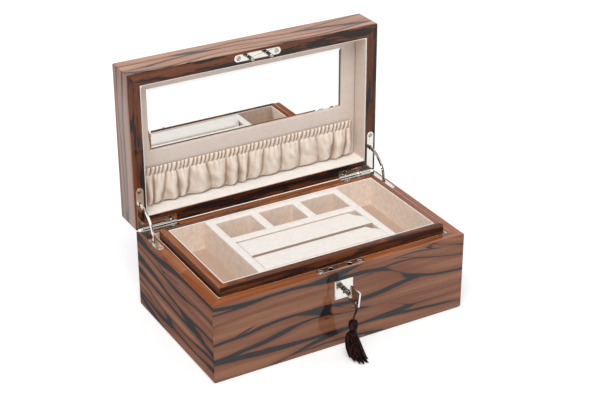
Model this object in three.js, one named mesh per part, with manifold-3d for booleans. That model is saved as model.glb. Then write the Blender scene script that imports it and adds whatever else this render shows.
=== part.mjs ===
// Lockable jewellery box: veneered case with a lift-out tray, a mirrored lid on quadrant hinges,
// a box lock with its key, and a tassel. Millimetres, +Z up, front towards -Y.
// Origin: centre of the felt underside. The lid stands open, 90 degrees from closed.
import * as THREE from "three";
import { mergeVertices } from "three/addons/utils/BufferGeometryUtils.js";
import Module from "manifold-3d";

const wasm = await Module();
wasm.setup();

// ---- Driving dimensions -------------------------------------------------------------------
const WIDTH = 290;
const DEPTH = 172.5;
const CASE_HEIGHT = 87;
const LID_HEIGHT = 37;
const LID_OPEN_DEG = 90;
const GAP = 0.3; // clearance between pieces that are cut to fit each other
const TOUCH = 0.02; // between pieces that are glued face to face
const FELT = 1;
const LINING = 1.2;

const CASE = {
  side: 13, front: 11.75, rear: 11.75, board: 5, pad: 2.5, liningTop: 86.6, restWidth: 8, restEnd: 4,
};
const LID = { side: 12.8, front: 13.5, rear: 13.25, board: 6.5, rimGap: 0.3, liningRim: 0.6, padFace: 22 };
const TRAY = {
  halfWidth: 128.8, front: -70.6, rear: 64.7, bottom: 58.5, top: 96.3,
  sideRail: 6.8, frontRail: 5.9, rearRail: 7, board: 3, pad: 2, gridTop: 95.3,
};
const HINGE = {
  y: 86.7, z: CASE_HEIGHT, x0: 98.6, x1: 138.7, barrel: 2.4, bore: 1.25, pin: 1,
  plate: 1.6, legX: 138.5, leg: 8, legFront: 48, rearLeg: 8.4,
};
const STAY = {
  x: 138.5, thick: 1.6, radius: 29, width: 4, from: 82, to: 188,
  pocketFrom: 178, pocketTo: 237, slot: 0.5, play: 0.6,
};
const LOCK = {
  y: -79.5, keyZ: 65.2, pinX: 11, screwX: 22.5, plate: [54, 8, 1.6], pinHole: 2.6,
  caseHalf: 20.2, caseThick: 7.4, caseWall: 0.8, caseBottom: 51, mortiseGap: 0.4,
  escutcheon: 21, escutcheonThick: 1.1,
};
const BOLT = {
  x0: -4.4, x1: 19, z0: 63, forkZ: [79.6, 81], back: -76.7, sheet: 0.6,
  forkFront: -82.1, lead: 2.4, notch: 4.2, notchHalf: 1.4,
};
const SCREW = { head: 2.2, shank: 1, headDepth: 1.2, length: 9 };
// The bow's plate leans about the key's axis, and its heights are measured from that axis.
const KEY = {
  shaft: 1.8, tip: -79.2, length: 19, bitHalf: 0.9, bitReach: 4.8, bitLong: 3, bitEnd: -79.4,
  bowLong: 17.6, bowFrom: -6.6, bowTo: 9.4, bowThick: 2, leanDeg: 6, hole: 1.5, holeY: -113.3, edge: 1.7,
};
const TUMBLER = { radius: 5.2, front: -83, back: -78.7, bore: 2.1, slotHalf: 1.3, drive: 3.6, drivePin: 1 };
const TASSEL = {
  cord: 1.3, bend: 2, head: [-3.4, -111, 43.2], headHeight: 12.8,
  skirtTop: [-3.6, -111, 30.2], skirtBottom: 0.4,
};

const frontY = -DEPTH / 2;
const halfWidth = WIDTH / 2;
const caseInner = { x: halfWidth - CASE.side, y0: frontY + CASE.front, y1: -frontY - CASE.rear };
const floorZ = FELT + CASE.board + CASE.pad;
// The lid is built closed, in a frame on the hinge axis: y and z are measured from the axis.
const lidRim = LID.rimGap;
const lidTop = lidRim + LID_HEIGHT;
const lidRearY = -frontY - HINGE.y;
const lidFrontY = frontY - HINGE.y;
const lidInner = { x: halfWidth - LID.side, y0: lidFrontY + LID.front, y1: lidRearY - LID.rear };
const lean = THREE.MathUtils.degToRad(KEY.leanDeg);

// ---- Materials ----------------------------------------------------------------------------
const finish = (color, roughness, metalness = 0) =>
  new THREE.MeshStandardMaterial({ color, roughness, metalness });
const veneer = finish(0x8d6350, 0.2);
const trayWood = finish(0x8a4a26, 0.2);
const suede = finish(0xe9e2d8, 0.95);
const satin = finish(0xd9ccb8, 0.7);
const felt = finish(0x2a2524, 1);
const nickel = finish(0xe8e4da, 0.12, 1);
const glass = finish(0xf2f4f5, 0.03, 1);
const silk = finish(0x32190f, 0.6);

// ---- Solid helpers ------------------------------------------------------------------------
function box(x0, x1, y0, y1, z0, z1) {
  const g = new THREE.BoxGeometry(x1 - x0, y1 - y0, z1 - z0);
  return g.translate((x0 + x1) / 2, (y0 + y1) / 2, (z0 + z1) / 2);
}

function cylinderX(radius, x0, x1, y, z, sides = 24) {
  const g = new THREE.CylinderGeometry(radius, radius, x1 - x0, sides).rotateZ(-Math.PI / 2);
  return g.translate((x0 + x1) / 2, y, z);
}

function cylinderY(radius, y0, y1, x, z, sides = 24) {
  return new THREE.CylinderGeometry(radius, radius, y1 - y0, sides).translate(x, (y0 + y1) / 2, z);
}

function cylinderZ(radius, z0, z1, x, y, sides = 24) {
  const g = new THREE.CylinderGeometry(radius, radius, z1 - z0, sides).rotateX(Math.PI / 2);
  return g.translate(x, y, (z0 + z1) / 2);
}

// A plan outline, counter-clockwise points or a Shape, raised from z0 to z1.
function prism(outline, z0, z1) {
  const shape = Array.isArray(outline)
    ? new THREE.Shape(outline.map(([x, y]) => new THREE.Vector2(x, y)))
    : outline;
  const g = new THREE.ExtrudeGeometry(shape, { depth: z1 - z0, bevelEnabled: false, curveSegments: 8 });
  return g.translate(0, 0, z0);
}

// A flat bar with round ends, centred on (x, y), long along X.
function stadium(x, y, long, wide) {
  const s = new THREE.Shape();
  const r = wide / 2;
  s.absarc(x + long / 2 - r, y, r, -Math.PI / 2, Math.PI / 2);
  s.absarc(x - long / 2 + r, y, r, Math.PI / 2, Math.PI * 1.5);
  return s;
}

// A band of a circle about the hinge axis, in the YZ plane, thick along X about x.
function arcBand(x, thick, inner, outer, fromDeg, toDeg) {
  const rad = THREE.MathUtils.degToRad;
  const s = new THREE.Shape();
  s.absarc(0, 0, outer, rad(fromDeg), rad(toDeg), false);
  s.absarc(0, 0, inner, rad(toDeg), rad(fromDeg), true);
  const g = new THREE.ExtrudeGeometry(s, { depth: thick, bevelEnabled: false, curveSegments: 20 });
  // Shape x is Y, shape y is Z, and the extrusion runs along X.
  return g.applyMatrix4(new THREE.Matrix4().makeBasis(
    new THREE.Vector3(0, 1, 0), new THREE.Vector3(0, 0, 1), new THREE.Vector3(1, 0, 0),
  )).translate(x - thick / 2, 0, 0);
}

function toSolid(geometry) {
  const g = geometry.clone();
  g.deleteAttribute("normal");
  g.deleteAttribute("uv");
  const merged = mergeVertices(g, 1e-4);
  return new wasm.Manifold(new wasm.Mesh({
    numProp: 3,
    vertProperties: merged.attributes.position.array,
    triVerts: new Uint32Array(merged.index.array),
  }));
}

function toGeometry(solid) {
  const m = solid.getMesh();
  const g = new THREE.BufferGeometry();
  g.setAttribute("position", new THREE.BufferAttribute(new Float32Array(m.vertProperties), 3));
  g.setIndex(new THREE.BufferAttribute(new Uint32Array(m.triVerts), 1));
  const flat = g.toNonIndexed();
  flat.computeVertexNormals();
  return flat;
}

const cut = (geometry, ...tools) =>
  toGeometry(tools.reduce((solid, tool) => solid.subtract(toSolid(tool)), toSolid(geometry)));
const join = (geometry, ...others) =>
  toGeometry(others.reduce((solid, other) => solid.add(toSolid(other)), toSolid(geometry)));

const group = new THREE.Group();
const lid = new THREE.Group();
lid.position.set(0, HINGE.y, HINGE.z);
lid.rotation.x = THREE.MathUtils.degToRad(-LID_OPEN_DEG);
group.add(lid);

function place(parent, name, geometry, material) {
  const m = new THREE.Mesh(geometry, material);
  m.name = name;
  parent.add(m);
}

// ---- Mitred frames ------------------------------------------------------------------------
// Plan outlines of four boards mitred at the corners, between an outer and an inner rectangle.
function mitred(outer, inner) {
  const corners = ({ x, y0, y1 }) => [[-x, y0], [x, y0], [x, y1], [-x, y1]];
  const o = corners(outer);
  const i = corners(inner);
  const board = (a, b) => [o[a], o[b], i[b], i[a]];
  return { front: board(0, 1), right: board(1, 2), rear: board(2, 3), left: board(3, 0) };
}

// ---- Screws -------------------------------------------------------------------------------
// Countersunk screw, head face at z = 0 and shank down to z = -length.
function screwProfile(clearance) {
  const { head, shank, headDepth, length } = SCREW;
  const tip = clearance ? -length - clearance : -length;
  return [
    [0, tip], [shank + clearance, tip], [shank + clearance, -headDepth - clearance],
    [head + clearance, clearance ? -0.2 : 0], [head + clearance, clearance ? 1 : 0], [0, clearance ? 1 : 0],
  ].filter(([r, z], k, all) => k === 0 || r !== all[k - 1][0] || z !== all[k - 1][1]);
}

// upward is true for a head that faces +Z, and false for one that faces -Z.
function screw(x, y, z, upward, clearance = 0) {
  const points = screwProfile(clearance).map(([r, h]) => new THREE.Vector2(r, h));
  const g = new THREE.LatheGeometry(points, 12).rotateX(Math.PI / 2);
  if (!upward) g.rotateX(Math.PI);
  return g.translate(x, y, z);
}

// ---- Quadrant hinges ----------------------------------------------------------------------
// Everything about a hinge is drawn for the right side, in the frame of the hinge axis, with the
// case below z = 0 and the closed lid above it. side = -1 mirrors it, up = 1 gives the lid's half.
const knuckle = (HINGE.x1 - HINGE.x0 - 2 * GAP) / 3;
const knuckles = [0, 1, 2].map((k) => {
  const x0 = HINGE.x0 + k * (knuckle + GAP);
  return [x0, x0 + knuckle];
});
const hingeScrews = [[HINGE.legX, 4.4 - HINGE.legFront], [106, -5.6]];

function mirrored(geometry, side, up) {
  if (side > 0 && up < 0) return geometry;
  const g = geometry.index ? geometry.toNonIndexed() : geometry.clone();
  g.scale(side, 1, -up);
  if (side * -up < 0) {
    const p = g.attributes.position;
    for (let i = 0; i < p.count; i += 3) {
      const a = new THREE.Vector3().fromBufferAttribute(p, i);
      const b = new THREE.Vector3().fromBufferAttribute(p, i + 1);
      p.setXYZ(i, b.x, b.y, b.z);
      p.setXYZ(i + 1, a.x, a.y, a.z);
    }
  }
  return g;
}

// L-shaped plan of a leaf: a rear leg along the barrel and a side leg with a round front end.
function leafPlan(clearance) {
  const { x0, legX, leg, legFront, rearLeg } = HINGE;
  const r = leg / 2 + clearance;
  const s = new THREE.Shape();
  s.absarc(legX, leg / 2 - legFront, r, Math.PI, 2 * Math.PI);
  s.lineTo(legX + r, 0.6);
  s.lineTo(x0 - clearance, 0.6);
  s.lineTo(x0 - clearance, -rearLeg - clearance);
  s.lineTo(legX - r, -rearLeg - clearance);
  return s;
}

const staySlot = (clearance) => box(
  STAY.x - STAY.thick / 2 - clearance, STAY.x + STAY.thick / 2 + clearance,
  -STAY.radius - STAY.width / 2 - clearance, -STAY.radius + STAY.width / 2 + clearance,
  -HINGE.plate * 2, HINGE.plate * 2,
);

// A leaf of the case (up = -1) or of the lid (up = 1), with its knuckles on the shared barrel.
function hingeLeaf(side, up) {
  const own = up < 0 ? [knuckles[0], knuckles[2]] : [knuckles[1]];
  const others = up < 0 ? [knuckles[1]] : [knuckles[0], knuckles[2]];
  const face = up < 0 ? 0 : -LID.rimGap;
  let leaf = prism(leafPlan(0), face - HINGE.plate, face);
  // The plate stops short of the barrel's outer end.
  const beyond = box(HINGE.x1 - 0.5, halfWidth, -HINGE.barrel - GAP, 2, -2 * HINGE.plate, 2 * HINGE.plate);
  const room = HINGE.barrel + GAP;
  leaf = cut(leaf, beyond, ...others.map(([a, b]) => cylinderX(room, a - GAP, b + GAP, 0, 0)));
  leaf = join(leaf, ...own.map(([a, b]) => cylinderX(HINGE.barrel, a, b, 0, 0)));
  leaf = cut(
    leaf,
    cylinderX(HINGE.bore, HINGE.x0 - 1, HINGE.x1 + 1, 0, 0, 16),
    staySlot(STAY.slot),
    ...hingeScrews.map(([x, y]) => screw(x, y, face, true, GAP)),
  );
  return mirrored(leaf, side, up);
}

// What a hinge needs out of the wood: the leaf's bed, the barrel's groove, the stay's pocket, holes.
function hingeCuts(side, up) {
  const face = up < 0 ? 0 : -LID.rimGap;
  const { x0, x1, barrel, plate } = HINGE;
  const { radius, width, thick, play, pocketFrom, pocketTo } = STAY;
  const half = width / 2 + play;
  return [
    prism(leafPlan(0.25), face - plate - GAP, face + 1),
    cylinderX(barrel + GAP, x0 - GAP, x1 + GAP, 0, 0),
    arcBand(STAY.x, thick + 0.8, radius - half, radius + half, pocketFrom, pocketTo),
    ...hingeScrews.map(([x, y]) => screw(x, y, face, true, GAP)),
  ].map((g) => mirrored(g, side, up));
}

const SIDES = [[-1, "left"], [1, "right"]];
const atHinge = (geometry) => geometry.translate(0, HINGE.y, HINGE.z);

function addHinges() {
  for (const [side, word] of SIDES) {
    place(group, `hinge_case_leaf_${word}`, atHinge(hingeLeaf(side, -1)), nickel);
    place(lid, `hinge_lid_leaf_${word}`, hingeLeaf(side, 1), nickel);
    const pinEnds = [HINGE.x0 - 0.2, HINGE.x1 + 0.2].map((x) => x * side).sort((a, b) => a - b);
    place(group, `hinge_pin_${word}`, cylinderX(HINGE.pin, ...pinEnds, HINGE.y, HINGE.z, 12), nickel);
    const { radius, width, from, to, thick } = STAY;
    const stay = arcBand(STAY.x * side, thick, radius - width / 2, radius + width / 2, from, to);
    place(group, `hinge_stay_${word}`, atHinge(stay), nickel);
    hingeScrews.forEach(([x, y], k) => {
      const spot = k ? "rear" : "side";
      place(group, `hinge_case_screw_${spot}_${word}`, atHinge(screw(x * side, y, 0, true)), nickel);
      place(lid, `hinge_lid_screw_${spot}_${word}`, screw(x * side, y, LID.rimGap, false), nickel);
    });
  }
}

// ---- Case ---------------------------------------------------------------------------------
function keyholeCut(clearance, y0, y1) {
  const slot = KEY.bitHalf + clearance;
  return join(
    cylinderY(KEY.shaft + clearance, y0, y1, 0, LOCK.keyZ),
    box(-slot, slot, y0, y1, LOCK.keyZ - KEY.bitReach - clearance, LOCK.keyZ),
  );
}

function addCase() {
  const boards = mitred({ x: halfWidth, y0: frontY, y1: -frontY }, caseInner);
  const wall = (name) => prism(boards[name], FELT, CASE_HEIGHT);
  const right = hingeCuts(1, -1).map(atHinge);
  const left = hingeCuts(-1, -1).map(atHinge);
  const [long, wide, thick] = LOCK.plate;
  const mortise = { x: LOCK.caseHalf + LOCK.mortiseGap, y: LOCK.caseThick / 2 + GAP };
  const front = cut(
    wall("front"),
    prism(stadium(0, LOCK.y, long + 0.5, wide + 0.5), CASE_HEIGHT - thick - GAP, CASE_HEIGHT + 1),
    box(-mortise.x, mortise.x, LOCK.y - mortise.y, LOCK.y + mortise.y, LOCK.caseBottom - 1, CASE_HEIGHT),
    keyholeCut(0.6, frontY - 1, LOCK.y),
    ...SIDES.map(([side]) => screw(side * LOCK.screwX, LOCK.y, CASE_HEIGHT, true, GAP)),
  );
  place(group, "case_front_wall", front, veneer);
  place(group, "case_rear_wall", cut(wall("rear"), ...left, ...right), veneer);
  place(group, "case_left_wall", cut(wall("left"), ...left), veneer);
  place(group, "case_right_wall", cut(wall("right"), ...right), veneer);

  const inset = 1;
  const edge = halfWidth - inset;
  place(group, "case_felt_pad", box(-edge, edge, frontY + inset, -frontY - inset, 0, FELT), felt);
  // The space between the walls, less a margin all round.
  const inside = (margin, z0, z1) => {
    const { x, y0, y1 } = caseInner;
    return box(-x + margin, x - margin, y0 + margin, y1 - margin, z0, z1);
  };
  place(group, "case_bottom_board", inside(GAP, FELT, FELT + CASE.board), veneer);
  place(group, "case_floor_pad", inside(GAP, FELT + CASE.board, floorZ), suede);
  const lining = cut(
    inside(GAP, floorZ, CASE.liningTop),
    inside(GAP + LINING, floorZ - 1, CASE.liningTop + 1),
  );
  place(group, "case_lining_walls", lining, suede);
  const wallFace = caseInner.x - GAP - LINING;
  const ends = [caseInner.y0 + CASE.restEnd, caseInner.y1 - CASE.restEnd];
  for (const [side, word] of SIDES) {
    const xs = [side * wallFace, side * (wallFace - CASE.restWidth)].sort((a, b) => a - b);
    place(group, `tray_rest_${word}`, box(...xs, ...ends, floorZ, TRAY.bottom - GAP), suede);
  }
}

// ---- Lock, key and tassel -----------------------------------------------------------------
const driveOffset = TUMBLER.drive * Math.SQRT1_2; // the drive pin stands at 45 degrees, right of the top

function addLockPlates() {
  const [long, wide, thick] = LOCK.plate;
  const plate = cut(
    prism(stadium(0, LOCK.y, long, wide), CASE_HEIGHT - thick, CASE_HEIGHT),
    ...SIDES.map(([side]) =>
      cylinderZ(LOCK.pinHole, CASE_HEIGHT - 2 * thick, CASE_HEIGHT + thick, side * LOCK.pinX, LOCK.y)),
    ...SIDES.map(([side]) => screw(side * LOCK.screwX, LOCK.y, CASE_HEIGHT, true, GAP)),
  );
  place(group, "lock_faceplate", plate, nickel);
  for (const [side, word] of SIDES) {
    place(group, `lock_screw_${word}`, screw(side * LOCK.screwX, LOCK.y, CASE_HEIGHT, true), nickel);
  }
  const half = LOCK.escutcheon / 2;
  const escutcheon = cut(
    box(-half, half, frontY - LOCK.escutcheonThick, frontY, LOCK.keyZ - half, LOCK.keyZ + half),
    keyholeCut(0.4, frontY - 2 * LOCK.escutcheonThick, frontY + 1),
  );
  place(group, "escutcheon", escutcheon, nickel);
}

// The lock case is open at the top, under the faceplate, and at the front, where the key goes in.
function addLockCase() {
  const { caseHalf: half, caseWall: w, caseBottom, y } = LOCK;
  const top = CASE_HEIGHT - LOCK.plate[2] - GAP;
  const y0 = y - LOCK.caseThick / 2;
  const y1 = y + LOCK.caseThick / 2;
  const housing = cut(
    box(-half, half, y0, y1, caseBottom, top),
    box(-half + w, half - w, y0 + w, y1 - w, caseBottom + w, top + 1),
    cylinderY(TUMBLER.radius + 0.4, y0 - 1, y, 0, LOCK.keyZ),
  );
  place(group, "lock_case", housing, nickel);
}

// The bolt: a sheet behind the tumbler, moved by the drive pin in its slot, and two forks at the
// top that close round the necks of the catch pins.
function addBolt() {
  const { x0, x1, z0, forkZ, back, sheet, forkFront, lead, notch, notchHalf } = BOLT;
  const forks = [[-LOCK.pinX + lead, x0 + 2], [LOCK.pinX + lead, x1]];
  const slotHalf = TUMBLER.drivePin + 0.4;
  const bolt = cut(
    join(
      box(x0, x1, back - sheet, back, z0, forkZ[1]),
      ...forks.map(([a, b]) => box(a, b, forkFront, back, ...forkZ)),
    ),
    ...forks.map(([a]) =>
      box(a - 1, a + notch, LOCK.y - notchHalf, LOCK.y + notchHalf, forkZ[0] - 1, forkZ[1] + 1)),
    box(driveOffset - slotHalf, driveOffset + slotHalf, back - 2 * sheet, back + 1,
      LOCK.keyZ + driveOffset - 1.7, LOCK.keyZ + TUMBLER.drive + slotHalf),
  );
  place(group, "lock_bolt", bolt, nickel);
}

function addTumbler() {
  const { radius, front, back, bore, slotHalf, drivePin } = TUMBLER;
  const barrel = cut(
    cylinderY(radius, front, back, 0, LOCK.keyZ, 28),
    cylinderY(bore, front - 1, back + 1, 0, LOCK.keyZ),
    box(-slotHalf, slotHalf, front - 1, back + 1, LOCK.keyZ - radius - 1, LOCK.keyZ),
  );
  const pin = cylinderY(drivePin, back - 1, BOLT.back - 0.2, driveOffset, LOCK.keyZ + driveOffset, 16);
  place(group, "lock_tumbler", join(barrel, pin), nickel);
}

function addKey() {
  const r = KEY.shaft;
  // Radius and distance out from the shaft's inner tip.
  const profile = [
    [0, 0], [r, 0], [r, 9.4], [2.7, 9.6], [2.7, 10.6], [r, 10.8], [r, 13.6], [2.4, 13.9],
    [2.9, 14.9], [2.4, 15.9], [2.4, 16.4], [3.1, 16.8], [3.1, 18], [2.3, 18.6],
    [2.3, KEY.length], [0, KEY.length],
  ];
  const turned = new THREE.LatheGeometry(profile.map(([a, b]) => new THREE.Vector2(a, b)), 20)
    .rotateX(Math.PI)
    .translate(0, KEY.tip, LOCK.keyZ);
  const bit = box(
    -KEY.bitHalf, KEY.bitHalf, KEY.bitEnd - KEY.bitLong, KEY.bitEnd, LOCK.keyZ - KEY.bitReach, LOCK.keyZ,
  );
  place(group, "key_shaft", join(turned, bit), nickel);
  const thick = KEY.bowThick / 2;
  const bowRear = KEY.tip - KEY.length - GAP;
  // The hole leaves a narrow edge below it, and the tassel's cord hangs round that edge.
  const bow = cut(
    box(-thick, thick, bowRear - KEY.bowLong, bowRear, KEY.bowFrom, KEY.bowTo),
    cylinderX(KEY.hole, -2 * thick, 2 * thick, KEY.holeY, KEY.bowFrom + KEY.edge + KEY.hole),
  );
  place(group, "key_bow", bow.rotateY(lean).translate(0, 0, LOCK.keyZ), nickel);
}

// The cord leaves the tassel's head, passes through the hole of the bow and over the edge below it,
// and returns to the head, one strand beside the other.
function addCord() {
  const [hx, hy, hz] = TASSEL.head;
  const { cord, bend } = TASSEL;
  const edge = KEY.bowFrom + KEY.edge / 2;
  const [px, py, pz] = [edge * Math.sin(lean), KEY.holeY, LOCK.keyZ + edge * Math.cos(lean)];
  const over = [180, 135, 90, 45, 0].map(THREE.MathUtils.degToRad)
    .map((a) => [px + bend * Math.cos(a), py, pz + bend * Math.sin(a)]);
  const half = cord / 2;
  // How far up from the head, how far the pair's middle has moved towards the bow, and how far apart
  // the strands are, in diameters.
  const rise = [[GAP, 0, 1], [3.8, 0.2, 1], [7.8, 0.55, 1], [11.8, 0.9, 1.3]];
  const strand = (side) => rise.map(([up, share, apart]) => [
    hx + (px - hx) * share + side * half * apart, hy + (py - hy) * share, hz + up,
  ]);
  const left = [px - bend + 0.3, py, pz - 2.1];
  const right = [px + bend - 0.3, py, pz - 2.1];
  const route = new THREE.CatmullRomCurve3(
    [...strand(-1), left, ...over, right, ...strand(1).reverse()].map((p) => new THREE.Vector3(...p)),
  );
  const section = new THREE.Shape();
  section.absarc(0, 0, half, 0, Math.PI * 2);
  const geometry = new THREE.ExtrudeGeometry(section, { steps: 32, extrudePath: route, curveSegments: 4 });
  place(group, "tassel_cord", geometry, silk);
}

function addTassel() {
  const [hx, hy, hz] = TASSEL.head;
  const h = TASSEL.headHeight;
  const knot = [
    [0, -h], [3.4, -h], [4.3, -h * 0.75], [4.75, -h * 0.45], [4.2, -h * 0.18], [2.6, -0.3], [0, 0],
  ];
  const head = new THREE.LatheGeometry(knot.map(([r, z]) => new THREE.Vector2(r, z)), 20);
  place(group, "tassel_head", head.rotateX(Math.PI / 2).translate(hx, hy, hz), silk);

  // The skirt: round at the neck, and fanned out where its ends lie on the surface below.
  const [sx, sy, sz] = TASSEL.skirtTop;
  const sides = 24;
  // Share of the way down, half widths in X and Y, and how far the ring's middle has moved.
  const rings = [
    [0, 3.4, 3.4, 0.2, 0], [0.16, 5.7, 5.7, -1.2, 0.8], [0.39, 7.6, 8.3, -0.4, -0.4],
    [0.66, 8.4, 10.3, 0.6, -2.5], [0.88, 8.3, 12.6, 2.2, -4.2], [1, 8.2, 14.8, 3.6, -5.6],
  ];
  const bottom = TASSEL.skirtBottom;
  const ringPoint = ([t, a, b, dx, dy], k) => {
    const angle = (k / sides) * Math.PI * 2;
    return [sx + dx + a * Math.cos(angle), sy + dy + b * Math.sin(angle), sz + (bottom - sz) * t];
  };
  const points = rings.flatMap((ring) => Array.from({ length: sides }, (_, k) => ringPoint(ring, k)));
  const top = rings[0];
  const last = rings[rings.length - 1];
  points.push([sx + top[3], sy + top[4], sz], [sx + last[3], sy + last[4], bottom]);
  const faces = [];
  for (let k = 0; k < sides; k += 1) {
    const n = (k + 1) % sides;
    faces.push(points.length - 2, k, n);
    for (let j = 0; j < rings.length - 1; j += 1) {
      const [a, b] = [j * sides, (j + 1) * sides];
      faces.push(a + k, b + k, b + n, a + k, b + n, a + n);
    }
    const z = (rings.length - 1) * sides;
    faces.push(points.length - 1, z + n, z + k);
  }
  const skirt = new THREE.BufferGeometry();
  skirt.setAttribute("position", new THREE.Float32BufferAttribute(points.flat(), 3));
  skirt.setIndex(faces);
  skirt.computeVertexNormals();
  place(group, "tassel_skirt", skirt, silk);
}

// ---- Lid ----------------------------------------------------------------------------------
const CATCH = { y: LOCK.y - HINGE.y, pin: 1.9, neck: 1.1, length: 12.4, screwX: 22 };
const MIRROR = { x: 113.6, y0: -144.6, y1: -76.2, depth: 3.4 };
const POCKET = { x: 127, y0: -58.6, y1: -15, face: 12, skin: 1.5 };

function addLid() {
  const boards = mitred({ x: halfWidth, y0: lidFrontY, y1: lidRearY }, lidInner);
  const underBoard = lidTop - LID.board;
  const wall = (name) => prism(boards[name], lidRim, underBoard);
  const right = hingeCuts(1, 1);
  const left = hingeCuts(-1, 1);
  const [long, wide, thick] = LOCK.plate;
  const front = cut(
    wall("front"),
    prism(stadium(0, CATCH.y, long + 0.5, wide + 0.5), lidRim - 1, lidRim + thick + GAP),
    ...SIDES.map(([side]) => screw(side * CATCH.screwX, CATCH.y, lidRim, false, GAP)),
  );
  place(lid, "lid_front_wall", front, veneer);
  place(lid, "lid_rear_wall", cut(wall("rear"), ...left, ...right), veneer);
  place(lid, "lid_left_wall", cut(wall("left"), ...left), veneer);
  place(lid, "lid_right_wall", cut(wall("right"), ...right), veneer);
  place(lid, "lid_top_board",
    box(-halfWidth, halfWidth, lidFrontY, lidRearY, underBoard + TOUCH, lidTop), veneer);

  const { x, y0, y1 } = lidInner;
  const lining = cut(
    box(-x + TOUCH, x - TOUCH, y0 + TOUCH, y1 - TOUCH, LID.liningRim, LID.padFace),
    box(-x + LINING, x - LINING, y0 + LINING, y1 - LINING, 0, LID.padFace + 1),
  );
  place(lid, "lid_lining_walls", lining, suede);
  const panel = cut(
    box(-x + GAP, x - GAP, y0 + GAP, y1 - GAP, LID.padFace + TOUCH, underBoard - GAP),
    box(-MIRROR.x, MIRROR.x, MIRROR.y0, MIRROR.y1, LID.padFace - 1, LID.padFace + MIRROR.depth + 2 * GAP),
  );
  place(lid, "lid_padded_panel", panel, suede);
  const mirror = box(
    -MIRROR.x + GAP, MIRROR.x - GAP, MIRROR.y0 + GAP, MIRROR.y1 - GAP,
    LID.padFace + GAP, LID.padFace + GAP + MIRROR.depth,
  );
  place(lid, "lid_mirror", mirror, glass);
  const pocket = cut(
    box(-POCKET.x, POCKET.x, POCKET.y0, POCKET.y1, POCKET.face, LID.padFace - 0.1),
    box(-POCKET.x + POCKET.skin, POCKET.x - POCKET.skin, POCKET.y0 - 1, POCKET.y1 - POCKET.skin,
      POCKET.face + POCKET.skin, LID.padFace + 1),
  );
  place(lid, "lid_pocket", pocket, satin);
}

// The catch plate with its two mushroom pins, which point down into the lock when the lid is shut.
function addCatch() {
  const [long, wide, thick] = LOCK.plate;
  const { pin, neck, length } = CATCH;
  const tip = lidRim - length;
  const profile = [
    [0, tip], [1, tip + 0.2], [1.75, tip + 0.9], [pin, tip + 1.9], [pin, tip + 4.1], [neck, tip + 4.1],
    [neck, tip + 6.9], [pin, tip + 6.9], [pin, lidRim + 1], [0, lidRim + 1],
  ];
  const pins = SIDES.map(([side]) =>
    new THREE.LatheGeometry(profile.map(([r, z]) => new THREE.Vector2(r, z)), 20)
      .rotateX(Math.PI / 2)
      .translate(side * LOCK.pinX, CATCH.y, 0));
  const plate = cut(
    prism(stadium(0, CATCH.y, long, wide), lidRim, lidRim + thick),
    ...SIDES.map(([side]) => screw(side * CATCH.screwX, CATCH.y, lidRim, false, GAP)),
  );
  place(lid, "catch_plate", join(plate, ...pins), nickel);
  for (const [side, word] of SIDES) {
    place(lid, `catch_screw_${word}`, screw(side * CATCH.screwX, CATCH.y, lidRim, false), nickel);
  }
}

// ---- Lift-out tray ------------------------------------------------------------------------
// Compartment edges, left to right and front to back.
const GRID = {
  left: [-81.4, -73], right: [68, 76.5], cross: [3, 13], rear: 48, front: -60.6,
  posts: [[-32.5, -23], [17.5, 27]],
};
const ROLLS = {
  x0: -72.4, x1: 64.6, bounds: { front: [-60.2, -31.6], rear: [-31, 2.6] }, top: 95.9, round: 9,
};

function addTray() {
  const outer = { x: TRAY.halfWidth, y0: TRAY.front, y1: TRAY.rear };
  const inner = {
    x: TRAY.halfWidth - TRAY.sideRail, y0: TRAY.front + TRAY.frontRail, y1: TRAY.rear - TRAY.rearRail,
  };
  const rails = mitred(outer, inner);
  for (const name of ["front", "rear", "left", "right"]) {
    place(group, `tray_${name}_rail`, prism(rails[name], TRAY.bottom, TRAY.top), trayWood);
  }
  const fit = 0.1;
  const { x, y0, y1 } = { x: inner.x - fit, y0: inner.y0 + fit, y1: inner.y1 - fit };
  const boardTop = TRAY.bottom + TRAY.board;
  place(group, "tray_bottom_board", box(-x, x, y0, y1, TRAY.bottom, boardTop), trayWood);
  const padTop = boardTop + TRAY.pad;
  const tub = cut(
    box(-x, x, y0, y1, boardTop, TRAY.top - 0.5),
    box(-x + LINING, x - LINING, y0 + LINING, y1 - LINING, padTop, TRAY.top + 1),
  );
  place(group, "tray_lining", tub, suede);

  const z = [padTop, TRAY.gridTop];
  const yf = y0 + LINING + fit;
  const yr = y1 - LINING - fit;
  const grid = join(
    box(...GRID.left, yf, yr, ...z),
    box(...GRID.right, yf, yr, ...z),
    box(GRID.left[0], GRID.right[1], ...GRID.cross, ...z),
    box(GRID.left[0], GRID.right[1], GRID.rear, yr, ...z),
    box(GRID.left[0], GRID.right[1], yf, GRID.front, ...z),
    ...GRID.posts.map(([a, b]) => box(a, b, GRID.cross[0], yr, ...z)),
  );
  place(group, "tray_dividers", grid, suede);
  for (const [word, bounds] of Object.entries(ROLLS.bounds)) {
    place(group, `ring_roll_${word}`, ringRoll(bounds, padTop), suede);
  }
}

// A foam ring roll: flat sides and base, with a crowned top.
function ringRoll([y0, y1], base) {
  const r = ROLLS.round;
  const s = new THREE.Shape();
  s.moveTo(y0, base);
  s.lineTo(y1, base);
  s.absarc(y1 - r, ROLLS.top - r, r, 0, Math.PI / 2);
  s.absarc(y0 + r, ROLLS.top - r, r, Math.PI / 2, Math.PI);
  s.lineTo(y0, base);
  const depth = ROLLS.x1 - ROLLS.x0;
  const g = new THREE.ExtrudeGeometry(s, { depth, bevelEnabled: false, curveSegments: 6 });
  return g.applyMatrix4(new THREE.Matrix4().makeBasis(
    new THREE.Vector3(0, 1, 0), new THREE.Vector3(0, 0, 1), new THREE.Vector3(1, 0, 0),
  )).translate(ROLLS.x0, 0, 0);
}

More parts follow.
